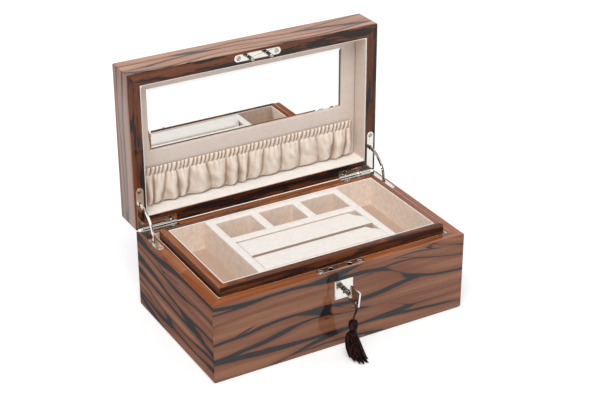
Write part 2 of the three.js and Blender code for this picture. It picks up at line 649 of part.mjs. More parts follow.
addCase();
addHinges();
addLockPlates();
addLockCase();
addBolt();
addTumbler();
addKey();
addCord();
addTassel();
addLid();
addCatch();
addTray();

export default group;
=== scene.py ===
"""A veneered jewellery box with a lift-out tray, a mirrored lid, a lock, its key and a tassel.

Lengths in this file are millimetres unless a name ends in _M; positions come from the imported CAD.
"""
import math
import random

import bmesh
import bpy
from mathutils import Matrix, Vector, noise


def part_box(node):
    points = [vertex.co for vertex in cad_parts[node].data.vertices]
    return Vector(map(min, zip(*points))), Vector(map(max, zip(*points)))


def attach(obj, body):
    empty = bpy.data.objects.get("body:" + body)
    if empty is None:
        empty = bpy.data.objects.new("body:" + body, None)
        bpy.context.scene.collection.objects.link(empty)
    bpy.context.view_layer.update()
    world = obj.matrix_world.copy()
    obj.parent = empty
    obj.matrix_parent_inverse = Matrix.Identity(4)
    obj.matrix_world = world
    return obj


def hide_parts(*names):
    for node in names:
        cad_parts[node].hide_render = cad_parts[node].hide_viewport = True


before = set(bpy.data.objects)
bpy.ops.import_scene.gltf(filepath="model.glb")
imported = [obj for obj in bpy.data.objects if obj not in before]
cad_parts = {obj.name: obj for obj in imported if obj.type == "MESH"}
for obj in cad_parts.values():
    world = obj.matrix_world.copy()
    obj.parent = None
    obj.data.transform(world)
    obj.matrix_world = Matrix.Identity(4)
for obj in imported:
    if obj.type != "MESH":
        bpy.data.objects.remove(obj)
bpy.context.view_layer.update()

MM = 0.001
TAU = 2 * math.pi
HINGE_Y = 86.7  # where the hinge axis lies, and the rim of the open lid with it


def mm_box(node):
    """Lowest and highest corner of a CAD node at rest."""
    lo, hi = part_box(node)
    return lo / MM, hi / MM


def linked(name, data):
    """A new object in the scene with this mesh, camera or light."""
    obj = bpy.data.objects.new(name, data)
    bpy.context.scene.collection.objects.link(obj)
    return obj


# ---- Camera: from the front left, looking down into the open box
CAMERA_AT_M = (-0.66658, -1.16899, 0.81682)
LOOK_DOWN, ROLL, AZIMUTH = 27.21, 0.09, -29.73  # degrees
camera = linked("camera", bpy.data.cameras.new("camera"))
camera.location = CAMERA_AT_M
camera.rotation_euler = (math.radians(90 - LOOK_DOWN), math.radians(ROLL), math.radians(AZIMUTH))
camera.data.lens = 89.37
camera.data.sensor_width = 36
camera.data.clip_end = 20
bpy.context.scene.camera = camera
bpy.context.scene.view_settings.view_transform = "Standard"


# ---- Mesh helpers
def shade(mesh, angle=35):
    """Smooth shading, with edges sharper than angle kept sharp."""
    mesh.shade_smooth()
    mesh.set_sharp_from_angle(angle=math.radians(angle))


def build(name, points, faces, angle=35):
    """A mesh object from points in millimetres, with its normals turned outward."""
    mesh = bpy.data.meshes.new(name)
    mesh.from_pydata([Vector(p) * MM for p in points], [], faces)
    bm = bmesh.new()
    bm.from_mesh(mesh)
    bmesh.ops.recalc_face_normals(bm, faces=bm.faces)
    bm.to_mesh(mesh)
    bm.free()
    shade(mesh, angle)
    return linked(name, mesh)


def skin(loops, closed=False):
    """Points and faces of a surface through loops of equal length: capped at both ends, or with its
    last loop joined to the first where it is closed."""
    n = len(loops[0])
    points = [p for loop in loops for p in loop]
    faces = []
    for j in range(len(loops) if closed else len(loops) - 1):
        a, b = j * n, (j + 1) % len(loops) * n
        for k in range(n):
            m = (k + 1) % n
            faces.append((a + k, a + m, b + m, b + k))
    if not closed:
        faces.append(tuple(reversed(range(n))))
        faces.append(tuple(range(len(points) - n, len(points))))
    return points, faces


def settle(obj):
    """Applies obj's modifiers to its mesh."""
    bpy.context.view_layer.update()
    graph = bpy.context.evaluated_depsgraph_get()
    mesh = bpy.data.meshes.new_from_object(obj.evaluated_get(graph))
    obj.modifiers.clear()
    obj.data = mesh


def combine(obj, other, operation):
    """Adds other to obj, or cuts it out, and removes other."""
    step = obj.modifiers.new("combine", "BOOLEAN")
    step.operation, step.object, step.solver = operation, other, "EXACT"
    step.material_mode = "TRANSFER"
    settle(obj)
    bpy.data.objects.remove(other)


def copied(name, node):
    """A new object with a CAD node's shape and its corners welded."""
    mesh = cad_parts[node].data.copy()
    mesh.materials.clear()
    bm = bmesh.new()
    bm.from_mesh(mesh)
    bmesh.ops.remove_doubles(bm, verts=bm.verts, dist=1e-6)
    bm.to_mesh(mesh)
    bm.free()
    for layer in list(mesh.uv_layers):
        mesh.uv_layers.remove(layer)
    return linked(name, mesh)


def flatten(obj):
    """Joins coplanar faces, up to a change of material."""
    bm = bmesh.new()
    bm.from_mesh(obj.data)
    bmesh.ops.remove_doubles(bm, verts=bm.verts, dist=2e-6)
    bmesh.ops.dissolve_limit(
        bm, angle_limit=math.radians(0.5), verts=bm.verts, edges=bm.edges, delimit={"MATERIAL"}
    )
    bm.to_mesh(obj.data)
    bm.free()


def bevelled(obj, width, picks, segments, sharp=25):
    """Rounds each edge sharper than sharp degrees by its picks(edge) share of width."""
    bm = bmesh.new()
    bm.from_mesh(obj.data)
    layer = bm.edges.layers.float.new("bevel_weight_edge")
    for edge in bm.edges:
        if len(edge.link_faces) == 2 and edge.calc_face_angle(0) > math.radians(sharp):
            edge[layer] = picks(edge)
    bm.to_mesh(obj.data)
    bm.free()
    step = obj.modifiers.new("bevel", "BEVEL")
    step.width, step.segments, step.limit_method = width * MM, segments, "WEIGHT"
    step.use_clamp_overlap = False
    settle(obj)
    shade(obj.data, 50)
    weighted = obj.modifiers.new("normals", "WEIGHTED_NORMAL")
    weighted.keep_sharp = True
    weighted.weight = 90
    settle(obj)
    return obj


def outer_arris(obj):
    """Picks the edges that lie on two faces of obj's bounding box."""
    lo, hi = corners(obj)
    planes = [(axis, value) for axis in range(3) for value in (lo[axis], hi[axis])]

    def pick(edge):
        on = sum(all(abs(v.co[axis] - value) < 5e-5 for v in edge.verts) for axis, value in planes)
        return 1.0 if on >= 2 else 0.0

    return pick


def finer_along(pick, axis_lines):
    """The same picks, but only a tenth of the width along the hinge, where lid and case meet."""

    def picked(edge):
        near = all(abs(v.co[axis] / MM - value) < 0.6 for v in edge.verts for axis, value in axis_lines)
        return pick(edge) * (0.1 if near else 1.0)

    return picked


def corners(obj):
    """Lowest and highest corner of obj's mesh, in metres."""
    co = [v.co for v in obj.data.vertices]
    return [Vector(f(c[k] for c in co) for k in range(3)) for f in (min, max)]


def refined(name, node, width):
    """A CAD node's shape with all its sharp edges slightly rounded."""
    obj = copied(name, node)
    flatten(obj)
    return bevelled(obj, width, lambda edge: 1.0, segments=2, sharp=40)


def rounded_rect(x0, x1, y0, y1, radius, steps=6):
    """Plan points of a rectangle with round corners, counter-clockwise."""
    if radius <= 0:
        return [(x0, y0), (x1, y0), (x1, y1), (x0, y1)]
    points = []
    for cx, cy, start in (
        (x1 - radius, y0 + radius, -0.25), (x1 - radius, y1 - radius, 0),
        (x0 + radius, y1 - radius, 0.25), (x0 + radius, y0 + radius, 0.5),
    ):
        for k in range(steps + 1):
            a = (start + 0.25 * k / steps) * TAU
            points.append((cx + radius * math.cos(a), cy + radius * math.sin(a)))
    return points


def frame_ring(name, outer, inner, profile, radii=(0, 0), place=lambda p: p, angle=35):
    """A ring between two rectangles (x0, x1, y0, y1) with corners of the two radii. Each profile point
    is (share, offset, z): share 0 is the outer rectangle and 1 the inner one, and offset is inward."""
    loops = []
    for share, offset, z in profile:
        rect = []
        for k, (a, b) in enumerate(zip(outer, inner)):
            sign = 1 if k % 2 == 0 else -1
            rect.append(a + (b - a) * share + sign * offset)
        radius = radii[0] + (radii[1] - radii[0]) * share
        if radii != (0, 0):
            radius = max(radius, 0.05)
        loops.append([place((x, y, z)) for x, y in rounded_rect(*rect, radius, 5)])
    return build(name, *skin(loops, closed=True), angle)


def stepped(name, rect, steps, radius, sides, place=lambda p: p, angle=35):
    """A solid on the rectangle (x0, x1, y0, y1), drawn in by d at height h for each (d, h) of steps.
    radius(d) is that of its corners, and sides how many parts each has."""
    x0, x1, y0, y1 = rect
    loops = [
        [place((x, y, h)) for x, y in rounded_rect(x0 + d, x1 - d, y0 + d, y1 - d, radius(d), sides)]
        for d, h in steps
    ]
    return build(name, *skin(loops), angle)


def turned(name, profile, sides, place):
    """A lathe shape: profile points are (radius, height), and place puts (x, y, height) where it goes."""
    loops = [
        [place((r * math.cos(k * TAU / sides), r * math.sin(k * TAU / sides), h)) for k in range(sides)]
        for r, h in profile
    ]
    return build(name, *skin(loops))


def block(name, lo, hi, place=lambda p: p):
    """A plain box, used only as a cutter."""
    loops = [
        [place((x, y, z)) for x, y in ((lo[0], lo[1]), (hi[0], lo[1]), (hi[0], hi[1]), (lo[0], hi[1]))]
        for z in (lo[2], hi[2])
    ]
    return build(name, *skin(loops))


def ease(t):
    """0 below 0, 1 above 1, and a smooth step between."""
    t = max(0.0, min(1.0, t))
    return t * t * (3 - 2 * t)


def arc(cx, cz, radius, from_deg, to_deg, steps):
    """Points of an arc, angles from +X towards +Z."""
    return [
        (cx + radius * math.cos(math.radians(a)), cz + radius * math.sin(math.radians(a)))
        for a in (from_deg + (to_deg - from_deg) * k / steps for k in range(steps + 1))
    ]


# ---- Materials
class Nodes:
    """Adds nodes to a tree. A value is a plain one, or another node's output."""

    def __init__(self, tree):
        self.tree = tree

    def feed(self, socket, value):
        if isinstance(value, bpy.types.NodeSocket):
            self.tree.links.new(value, socket)
        elif isinstance(value, tuple) and len(value) == 3 and len(socket.default_value) == 4:
            socket.default_value = (*value, 1)
        else:
            socket.default_value = value

    def math(self, operation, *values):
        node = self.tree.nodes.new("ShaderNodeMath")
        node.operation = operation
        for socket, value in zip(node.inputs, values):
            self.feed(socket, value)
        return node.outputs[0]

    def spread(self, value, low, high, to_low=0.0, to_high=1.0):
        """A smooth step of value from to_low at low to to_high at high."""
        node = self.tree.nodes.new("ShaderNodeMapRange")
        node.interpolation_type = "SMOOTHSTEP"
        for key, v in (
            ("Value", value), ("From Min", low), ("From Max", high), ("To Min", to_low), ("To Max", to_high),
        ):
            self.feed(node.inputs[key], v)
        return node.outputs[0]


class Finish(Nodes):
    """A procedural material: helper calls add nodes, and plain values go on the shader's own sockets."""

    def __init__(self, name, **fixed):
        self.mat = bpy.data.materials.new(name)
        self.mat.use_nodes = True
        super().__init__(self.mat.node_tree)
        self.bsdf = self.tree.nodes["Principled BSDF"]
        for socket, value in fixed.items():
            self.set(socket.replace("_", " ").title().replace("Ior", "IOR"), value)

    def set(self, socket, value):
        self.feed(self.bsdf.inputs[socket], value)

    def coords(self, order="xyz", stretch=(1, 1, 1), shift=(0, 0, 0)):
        """Object coordinates in millimetres, taken in the given order, divided by stretch and shifted."""
        if not hasattr(self, "split"):
            texture = self.tree.nodes.new("ShaderNodeTexCoord")
            self.split = self.tree.nodes.new("ShaderNodeSeparateXYZ")
            self.tree.links.new(texture.outputs["Object"], self.split.inputs[0])
        join = self.tree.nodes.new("ShaderNodeCombineXYZ")
        for k, letter in enumerate(order):
            along = self.split.outputs["xyz".index(letter)]
            self.feed(join.inputs[k], self.math("MULTIPLY_ADD", along, 1000 / stretch[k], shift[k]))
        return join.outputs[0]

    def axis(self, letter):
        """One object coordinate in millimetres."""
        self.coords()
        return self.math("MULTIPLY", self.split.outputs["xyz".index(letter)], 1000)

    def noise(self, vector, detail=2.0, roughness=0.5, distortion=0.0):
        node = self.tree.nodes.new("ShaderNodeTexNoise")
        self.tree.links.new(vector, node.inputs["Vector"])
        node.inputs["Scale"].default_value = 1
        node.inputs["Detail"].default_value = detail
        node.inputs["Roughness"].default_value = roughness
        node.inputs["Distortion"].default_value = distortion
        return node.outputs[0]

    def mix(self, factor, a, b):
        node = self.tree.nodes.new("ShaderNodeMix")
        node.data_type = "RGBA"
        self.feed(node.inputs[0], factor)
        self.feed(node.inputs[6], a)
        self.feed(node.inputs[7], b)
        return node.outputs[2]

    def bump(self, height, strength, distance_mm, under=None):
        """Bump on the shader, on top of the normal under, and its normal for the next one."""
        node = self.tree.nodes.new("ShaderNodeBump")
        node.inputs["Strength"].default_value = strength
        node.inputs["Distance"].default_value = distance_mm * MM
        self.feed(node.inputs["Height"], height)
        if under is not None:
            self.feed(node.inputs["Normal"], under)
        self.set("Normal", node.outputs[0])
        return node.outputs[0]


def wood(name, order, seed, light, deep, ink=1.0, cell=(210, 15), width=(0.0, 0.112), gloss=1.0, flame=0.0):
    """Lacquered figured veneer. order names the axis of the grain, then the axis across it on the
    face, then the depth. The charcoal lines follow the borders of long cells: cell is their size, width
    the range of the lines' half-widths as a share of cell[1], and ink their strength. gloss is the
    lacquer's, and flame the strength of broad dark blots."""
    f = Finish(name, roughness=0.45, coat_weight=gloss, coat_roughness=0.03, coat_ior=1.4,
               specular_ior_level=0.05)
    base = seed * 7.31
    drift = f.noise(f.coords(order, (170, 60, 60), (base, 2.1, 0.7)), 1.0)
    ripple = f.noise(f.coords(order, (52, 20, 20), (base, 8.4, 3.3)), 2.0)
    # Where a point lies across the grain once the grain's slow and quick bends are taken out.
    bent = f.math("MULTIPLY_ADD", drift, 42, f.math("MULTIPLY_ADD", ripple, 4, f.axis(order[1])))
    bent = f.math("MULTIPLY_ADD", f.axis(order[2]), 0.6, bent)

    def borders(long, across, shift):
        """Distance from the nearest border of cells stretched along the grain."""
        join = f.tree.nodes.new("ShaderNodeCombineXYZ")
        f.feed(join.inputs[0], f.math("MULTIPLY_ADD", f.axis(order[0]), 1 / long, base + shift))
        f.feed(join.inputs[1], f.math("MULTIPLY_ADD", bent, 1 / across, base * 1.7 + shift))
        node = f.tree.nodes.new("ShaderNodeTexVoronoi")
        node.voronoi_dimensions, node.feature = "2D", "DISTANCE_TO_EDGE"
        node.inputs["Scale"].default_value = 1
        f.tree.links.new(join.outputs[0], node.inputs["Vector"])
        return node.outputs["Distance"]

    broad = f.noise(f.coords(order, (260, 24, 60), (base, 5.5, 9.1)), 1.0)
    half = f.spread(broad, 0.36, 0.62, width[0], width[1])
    first = f.math("SUBTRACT", borders(*cell, 0), half)
    thin = f.noise(f.coords(order, (200, 18, 60), (base, 15.5, 3.1)), 1.0)
    fine_half = f.spread(thin, 0.50, 0.74, -0.04, width[1] * 0.45)
    second = f.math("SUBTRACT", borders(cell[0] * 0.62, cell[1] * 0.55, 3.3), fine_half)
    dark = f.math("MAXIMUM", f.spread(first, 0.014, -0.014), f.spread(second, 0.02, -0.02))
    dark = f.math("MULTIPLY", dark, ink)
    halo = f.math("MULTIPLY", f.spread(first, 0.26, 0.0), ink)
    if flame:
        blot = f.noise(f.coords(order, (70, 7, 60), (base, 1.9, 4.4)), 4.0, 0.62, 0.5)
        dark = f.math("MAXIMUM", dark, f.spread(blot, 0.515, 0.485, 0.0, flame))

    bands = f.noise(f.coords(order, (260, 8, 80), (base, 6.6, 2.2)), 3.0, 0.55)
    fibre = f.noise(f.coords(order, (22, 0.45, 20), (base, 0.3, 0.2)), 3.0, 0.6)
    pores = f.noise(f.coords(order, (5, 0.25, 4), (base, 3.1, 0.9)), 1.0)
    red = (deep[0] * 0.80, deep[1] * 0.58, deep[2] * 0.50)
    color = f.mix(f.spread(bands, 0.38, 0.62), light, deep)
    color = f.mix(f.math("MULTIPLY", halo, 0.75), color, red)
    color = f.mix(f.spread(fibre, 0.32, 0.68, 0.0, 0.22), color, tuple(c * 0.60 for c in light))
    color = f.mix(f.spread(pores, 0.60, 0.70, 0.0, 0.30), color, tuple(c * 0.35 for c in deep))
    charcoal = f.mix(f.spread(fibre, 0.35, 0.7, 0.0, 0.5), (0.010, 0.010, 0.012), (0.026, 0.020, 0.019))
    f.set("Base Color", f.mix(dark, color, charcoal))
    f.bump(f.math("ADD", f.math("MULTIPLY", fibre, 0.5), f.math("MULTIPLY", pores, 0.5)), 0.10, 0.04)
    return f.mat


def cloth(name, color, shade_color, nap=1.0, sheen=0.35, pile=0.25, bump=0.45, crease_shade_color=None):
    """Faux suede or velour: a fine pile, soft patches where the nap lies differently, and sheen.
    creased is the colour of painted shade that the mesh's attribute for the depth of creases blends in."""
    f = Finish(name, roughness=0.92, sheen_weight=sheen, sheen_roughness=0.55, specular_ior_level=0.15)
    f.set("Sheen Tint", (1.0, 0.97, 0.93))
    fine = f.noise(f.coords("xyz", (pile,) * 3), 2.0, 0.6)
    tufts = f.noise(f.coords("xyz", (pile * 4,) * 3, (3, 7, 1)), 3.0, 0.65)
    patches = f.noise(f.coords("xyz", (5, 7, 5), (1, 5, 2)), 3.0, 0.6, 0.4)
    tone = f.mix(f.spread(patches, 0.36, 0.66, 0.0, 0.55 * nap), color, shade_color)
    tone = f.mix(f.spread(tufts, 0.42, 0.66, 0.0, 0.45 * nap), tone, shade_color)
    if crease_shade_color:
        # Painted shade, deepest in the cloth's creases.
        depth = f.tree.nodes.new("ShaderNodeAttribute")
        depth.attribute_name = "painted_crease_shade"
        tone = f.mix(depth.outputs["Fac"], tone, crease_shade_color)
    tone = f.mix(f.spread(fine, 0.45, 0.75, 0.0, 0.25), tone, tuple(c * 0.8 for c in shade_color))
    f.set("Base Color", tone)
    under = f.bump(tufts, bump, 0.22)
    f.bump(fine, bump, 0.08, under)
    return f.mat


def metal(name, color, roughness=0.10):
    """Polished plate with faint wiping scratches and a slightly uneven shine."""
    f = Finish(name, metallic=1.0)
    scratch = f.noise(f.coords("xyz", (0.9, 0.9, 7), (2, 4, 6)), 3.0, 0.7)
    cloud = f.noise(f.coords("xyz", (9, 9, 9), (5, 1, 3)), 2.0)
    f.set("Base Color", f.mix(f.spread(cloud, 0.3, 0.7), color, tuple(c * 0.93 for c in color)))
    f.set("Roughness", f.math("MULTIPLY_ADD", f.spread(scratch, 0.35, 0.8), 0.06, roughness))
    f.bump(scratch, 0.05, 0.02)
    return f.mat


def thread(name, color, shadow):
    """Hanging rayon thread: fine ply lines, and darker locks between brighter ones."""
    f = Finish(name, roughness=0.5, sheen_weight=0.01, sheen_roughness=0.3, specular_ior_level=0.06)
    f.set("Sheen Tint", (0.9, 0.6, 0.45))
    ply = f.noise(f.coords("zxy", (5.0, 0.35, 0.35), (1, 2, 3)), 2.0, 0.6)
    locks = f.noise(f.coords("zxy", (16, 1.5, 1.5), (4, 2, 8)), 1.5)
    tone = f.math("MULTIPLY_ADD", ply, 0.3, f.math("MULTIPLY", locks, 0.7))
    f.set("Base Color", f.mix(f.spread(tone, 0.47, 0.60), shadow, color))
    f.bump(ply, 0.5, 0.12)
    return f.mat


def silvered(name, roughness, patch, bright, dim):
    """Silvered glass whose tint changes a little in patches of this size."""
    f = Finish(name, metallic=1.0, roughness=roughness)
    f.set("Base Color", f.mix(f.noise(f.coords("xyz", (patch,) * 3), 2.0), bright, dim))
    return f.mat


VENEER_LIGHT, VENEER_DEEP = (0.255, 0.105, 0.050), (0.180, 0.066, 0.032)
RIM_LIGHT, RIM_DEEP = (0.400, 0.125, 0.038), (0.260, 0.070, 0.020)
DARK_LIGHT, DARK_DEEP = (0.190, 0.060, 0.024), (0.095, 0.026, 0.010)
TRAY_LIGHT, TRAY_DEEP = (0.330, 0.092, 0.022), (0.215, 0.052, 0.012)

veneer_front = wood("veneer_along_x", "xzy", 2.7, VENEER_LIGHT, VENEER_DEEP)
veneer_side = wood("veneer_along_y", "yzx", 2.0, (0.285, 0.122, 0.070), (0.160, 0.060, 0.032),
                   cell=(210, 17), width=(0.04, 0.20), gloss=0.0)
veneer_lid_band = wood("veneer_lid_band", "xyz", 4.7, (0.53, 0.285, 0.175), (0.42, 0.205, 0.120),
                       cell=(260, 13), width=(0.03, 0.095), gloss=0.8)
veneer_lid_side = wood("veneer_lid_side", "zyx", 4.1, (0.345, 0.195, 0.140), (0.280, 0.150, 0.105),
                       cell=(420, 15), width=(0.03, 0.13), gloss=0.3)
veneer_lid_back = wood("veneer_lid_back", "xzy", 5.6, VENEER_LIGHT, VENEER_DEEP)
rim_x = wood("rim_along_x", "xyz", 6.2, RIM_LIGHT, RIM_DEEP, ink=0.5, cell=(160, 12), width=(-0.16, 0.05))
rim_y = wood("rim_along_y", "yxz", 7.9, RIM_LIGHT, RIM_DEEP, ink=0.5, cell=(160, 12), width=(-0.18, 0.04))
lid_rim_x = wood("lid_rim_along_x", "xzy", 8.3, DARK_LIGHT, DARK_DEEP,
                 cell=(200, 10), width=(-0.16, 0.12), gloss=0.6, flame=0.92)
lid_rim_z = wood("lid_rim_along_z", "zxy", 9.5, DARK_LIGHT, DARK_DEEP,
                 cell=(200, 10), width=(-0.16, 0.12), gloss=0.6, flame=0.92)
tray_x = wood("tray_wood_along_x", "xzy", 10.4, TRAY_LIGHT, TRAY_DEEP, ink=0.8,
              cell=(90, 12), width=(-0.16, 0.10), flame=0.5)
tray_y = wood("tray_wood_along_y", "yxz", 11.7, TRAY_LIGHT, TRAY_DEEP, ink=0.6,
              cell=(120, 12), width=(-0.2, 0.03))
# The tray's outer sides: the tray wood darkened as painted shade, deepest on the ends that face the case's
# walls.
tray_front_side_shaded = wood("tray_side_painted_shade_x", "xzy", 13.1, (0.200, 0.057, 0.015), (0.105, 0.028, 0.008),
                       ink=0.8, cell=(120, 10), width=(-0.14, 0.10), gloss=0.6, flame=0.8)
tray_end_side_shaded = wood("tray_side_painted_shade_y", "yzx", 14.6, (0.130, 0.038, 0.011), (0.065, 0.018, 0.006), ink=0.6)
plain_wood = wood("inner_wood", "xyz", 12.5, (0.30, 0.11, 0.04), (0.20, 0.06, 0.02), ink=0.3)

# Copies of one suede: suede is the lit copy for tops and folded edges, and the lining, floor and lid-side
# copies carry painted shade for walls, floors, slits and the lid's sides, the floor one deeper.
suede = cloth("suede", (0.88, 0.84, 0.795), (0.78, 0.725, 0.67))
shaded_suede = cloth("suede_painted_shade", (0.85, 0.715, 0.61), (0.71, 0.575, 0.47), nap=1.5)
deep_shaded_suede = cloth("suede_painted_deep_shade", (0.52, 0.375, 0.29), (0.45, 0.31, 0.235))
panel_suede = cloth("suede_lid", (0.72, 0.63, 0.575), (0.68, 0.575, 0.50), nap=1.3)
lid_shaded_suede = cloth("suede_lid_painted_shade", (0.70, 0.58, 0.495), (0.61, 0.49, 0.41))
velour = cloth("velour", (0.90, 0.79, 0.69), (0.78, 0.66, 0.555), sheen=0.4, pile=0.2,
               crease_shade_color=(0.40, 0.265, 0.18))
felt = cloth("felt", (0.045, 0.035, 0.032), (0.02, 0.016, 0.015), sheen=0.1, pile=0.5, bump=0.8)
nickel = metal("nickel", (0.80, 0.775, 0.72))
# Darker copies of the nickel, as painted dim and dark reflections: the key's bow faces and shaft, the right
# stay, the lid's screws, the hinge pins and the catch pins.
dim_painted_nickel = metal("dim_painted_nickel", (0.46, 0.43, 0.40), 0.07)
dark_painted_nickel = metal("dark_painted_nickel", (0.17, 0.155, 0.14), 0.06)
dark_steel = metal("lock_steel", (0.10, 0.095, 0.09), 0.25)
silk = thread("silk", (0.040, 0.0140, 0.0095), (0.0028, 0.0013, 0.0012))
silk_cord = thread("silk_cord", (0.085, 0.036, 0.027), (0.022, 0.0095, 0.0075))

mirror_glass = silvered("mirror_glass", 0.015, 60, (0.93, 0.94, 0.935), (0.90, 0.915, 0.91))
mirror_edge = silvered("mirror_bevel", 0.25, 25, (0.66, 0.68, 0.61), (0.52, 0.54, 0.47))
bevel_shade = metal("mirror_bevel_shade", (0.30, 0.25, 0.17), 0.2)


def finish_piece(obj, body, slot, material, *nodes):
    """Rides obj on its body, gives it its material, and has it stand for CAD nodes. slot is not used."""
    if material is not None:
        obj.data.materials.clear()
        obj.data.materials.append(material)
    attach(obj, body)
    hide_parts(*nodes)


# ---- The tassel's cord
def smooth_route(points, per_span):
    """Catmull-Rom points through a route."""
    ends = [points[0] * 2 - points[1], *points, points[-1] * 2 - points[-2]]
    out = []
    for a, b, c, d in zip(ends, ends[1:], ends[2:], ends[3:]):
        for k in range(per_span):
            t = k / per_span
            bend, turn = 2 * a - 5 * b + 4 * c - d, 3 * b - a - 3 * c + d
            out.append(0.5 * (2 * b + (c - a) * t + bend * t * t + turn * t ** 3))
    return [*out, points[-1]]


def cross_frames(route):
    """A tangent and two cross directions at each route point, carried along without twist."""
    frames = []
    side = Vector((0, 1, 0))
    for k, p in enumerate(route):
        tangent = (route[min(k + 1, len(route) - 1)] - route[max(k - 1, 0)]).normalized()
        side = (side - tangent * side.dot(tangent)).normalized()
        frames.append((p, side, tangent.cross(side)))
    return frames


CORD_DIAMETER = 1.3
CORD_ROUTE = [Vector(p) for p in (
    (-4.05, -111, 43.5), (-3.490, -111.46, 47), (-2.511, -112.265, 51), (-1.726, -113.07, 55),
    (-2.301, -113.3, 57.38), (-2.601, -113.3, 59.48), (-2.015, -113.3, 60.90), (-0.601, -113.3, 61.48),
    (0.813, -113.3, 60.90), (1.399, -113.3, 59.48), (1.099, -113.3, 57.38), (-0.036, -113.07, 55),
    (-1.211, -112.265, 51), (-2.190, -111.46, 47), (-2.75, -111, 43.5),
)]
CORD_SIDES = 12
cord_line = smooth_route(CORD_ROUTE, 12)
cord_loops = []
for k, (p, u, v) in enumerate(cross_frames(cord_line)):
    twist = k * 0.62  # of the cord's two strands
    loop = []
    for j in range(CORD_SIDES):
        a = j * TAU / CORD_SIDES
        r = CORD_DIAMETER / 2 * (0.93 + 0.07 * math.cos(2 * (a - twist)))
        loop.append(p + (u * math.cos(a) + v * math.sin(a)) * r)
    cord_loops.append(loop)
cord = build("tassel_cord_twisted", *skin(cord_loops), angle=80)
finish_piece(cord, "tassel_loop", "silk", silk_cord, "tassel_cord")


# ---- Case
def paint(obj, materials, choose):
    """Gives each face the material whose number choose(centre, normal) gives."""
    obj.data.materials.clear()
    for m in materials:
        obj.data.materials.append(m)
    for face in obj.data.polygons:
        face.material_index = choose(face.center / MM, face.normal)


def carcass(name, body, nodes, finishes, choose, arris, hinge_lines):
    """The boards of a body as one veneered shell, with its outer edges rounded."""
    obj = copied(name, nodes[0])
    for node in nodes[1:]:
        combine(obj, copied(node + "_part", node), "UNION")
    paint(obj, finishes, choose)
    flatten(obj)
    paint(obj, finishes, choose)
    bevelled(obj, arris, finer_along(outer_arris(obj), hinge_lines), segments=4)
    finish_piece(obj, body, "veneer", None, *nodes)


CASE_LOW = mm_box("case_left_wall")[0]  # the case is centred on the origin, so its walls end at -x and -y
CASE_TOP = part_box("case_front_wall")[1].z / MM
SIDE_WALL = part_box("case_left_wall")[1].x / MM - CASE_LOW.x
FRONT_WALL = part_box("case_front_wall")[1].y / MM - CASE_LOW.y


def case_face(centre, normal):
    """Front and rear, ends, and the rims over each, parted at the mitres."""
    from_end, from_front = -CASE_LOW.x - abs(centre.x), -CASE_LOW.y - abs(centre.y)
    end = 1 if from_end / SIDE_WALL < from_front / FRONT_WALL else 0
    return end + 2 if normal.z > 0.6 and centre.z > CASE_TOP - 6 else end


carcass("case_carcass", "case", ["case_front_wall", "case_right_wall", "case_rear_wall", "case_left_wall"],
        [veneer_front, veneer_side, rim_x, rim_y], case_face, 1.3, ((1, -CASE_LOW.y), (2, CASE_TOP)))


def lining_ring(name, span, wall, top_round, corner, place=lambda p: p):
    """Suede over card: a thin wall with a rounded upper edge, inside a mitred frame. span is the ring's
    x0, x1, y0, y1, foot and edge before place moves it."""
    x0, x1, y0, y1, z0, z1 = span
    outer = (x0, x1, y0, y1)
    inner = (x0 + wall, x1 - wall, y0 + wall, y1 - wall)
    sign = 1 if z1 > z0 else -1
    r = top_round
    profile = [(0, 0, z0), (0, 0, z1 - sign * r)]
    profile += [(0, r - r * math.cos(a), z1 - sign * (r - r * math.sin(a))) for a in (0.4, 0.8, 1.2)]
    profile += [(1, -(r - r * math.cos(a)), z1 - sign * (r - r * math.sin(a))) for a in (1.2, 0.8, 0.4)]
    profile += [(1, 0, z1 - sign * r), (1, 0, z0)]
    return frame_ring(name, outer, inner, profile, (0.2, corner), place)


lo, hi = mm_box("case_lining_walls")
case_lining = lining_ring("case_lining_wrapped", (lo.x, hi.x, lo.y, hi.y, lo.z, hi.z), 0.7, 0.33, 2.5)
# Painted light and shade: the folded top edge takes the lit suede, and the walls the copy in painted shade.
paint(case_lining, [suede, shaded_suede], lambda centre, normal: 0 if centre.z > hi.z - 1 else 1)
finish_piece(case_lining, "case", "suede", None, "case_lining_walls")


def cushion_pad(name, node, crown, edge=1.0):
    """A thin pad with its edges rounded by edge and a low crown, in the space of its CAD solid."""
    lo, hi = mm_box(node)
    top = hi.z - crown
    steps = [(0.3, lo.z), (0.0, lo.z + 0.4), (0.0, top - edge)]
    steps += [(edge - edge * math.cos(a), top - edge + edge * math.sin(a)) for a in (0.5, 1.0, 1.5)]
    reach = min(hi.x - lo.x, hi.y - lo.y) / 2
    steps += [
        (edge + (reach - edge) * t * 0.98, top + crown * math.sin(t * math.pi / 2))
        for t in (0.05, 0.15, 0.3, 0.5, 0.75, 1)
    ]
    return stepped(name, (lo.x, hi.x, lo.y, hi.y), steps, lambda d: max(1.5 - d, 0.05), 6)


# The case's floor pad and the tray's rests take suede copies in painted shade.
floor_pad = cushion_pad("case_floor_pad_suede", "case_floor_pad", 0.5)
finish_piece(floor_pad, "case", "suede", deep_shaded_suede, "case_floor_pad")
for side in ("left", "right"):
    rest = cushion_pad(f"tray_rest_suede_{side}", f"tray_rest_{side}", 0.1, 0.8)
    finish_piece(rest, "case", "suede", shaded_suede, f"tray_rest_{side}")
base_felt = cushion_pad("case_base_felt", "case_felt_pad", 0.02, 0.25)
finish_piece(base_felt, "case", "felt", felt, "case_felt_pad")

# ---- Hardware
CATCH_PIN_X = 11
CATCH_NECK_END = 8.3  # how far out a catch pin's neck ends and its head begins
CATCH_PIN_WIDER, CATCH_HEAD_SHORTER = 1.08, 0.5


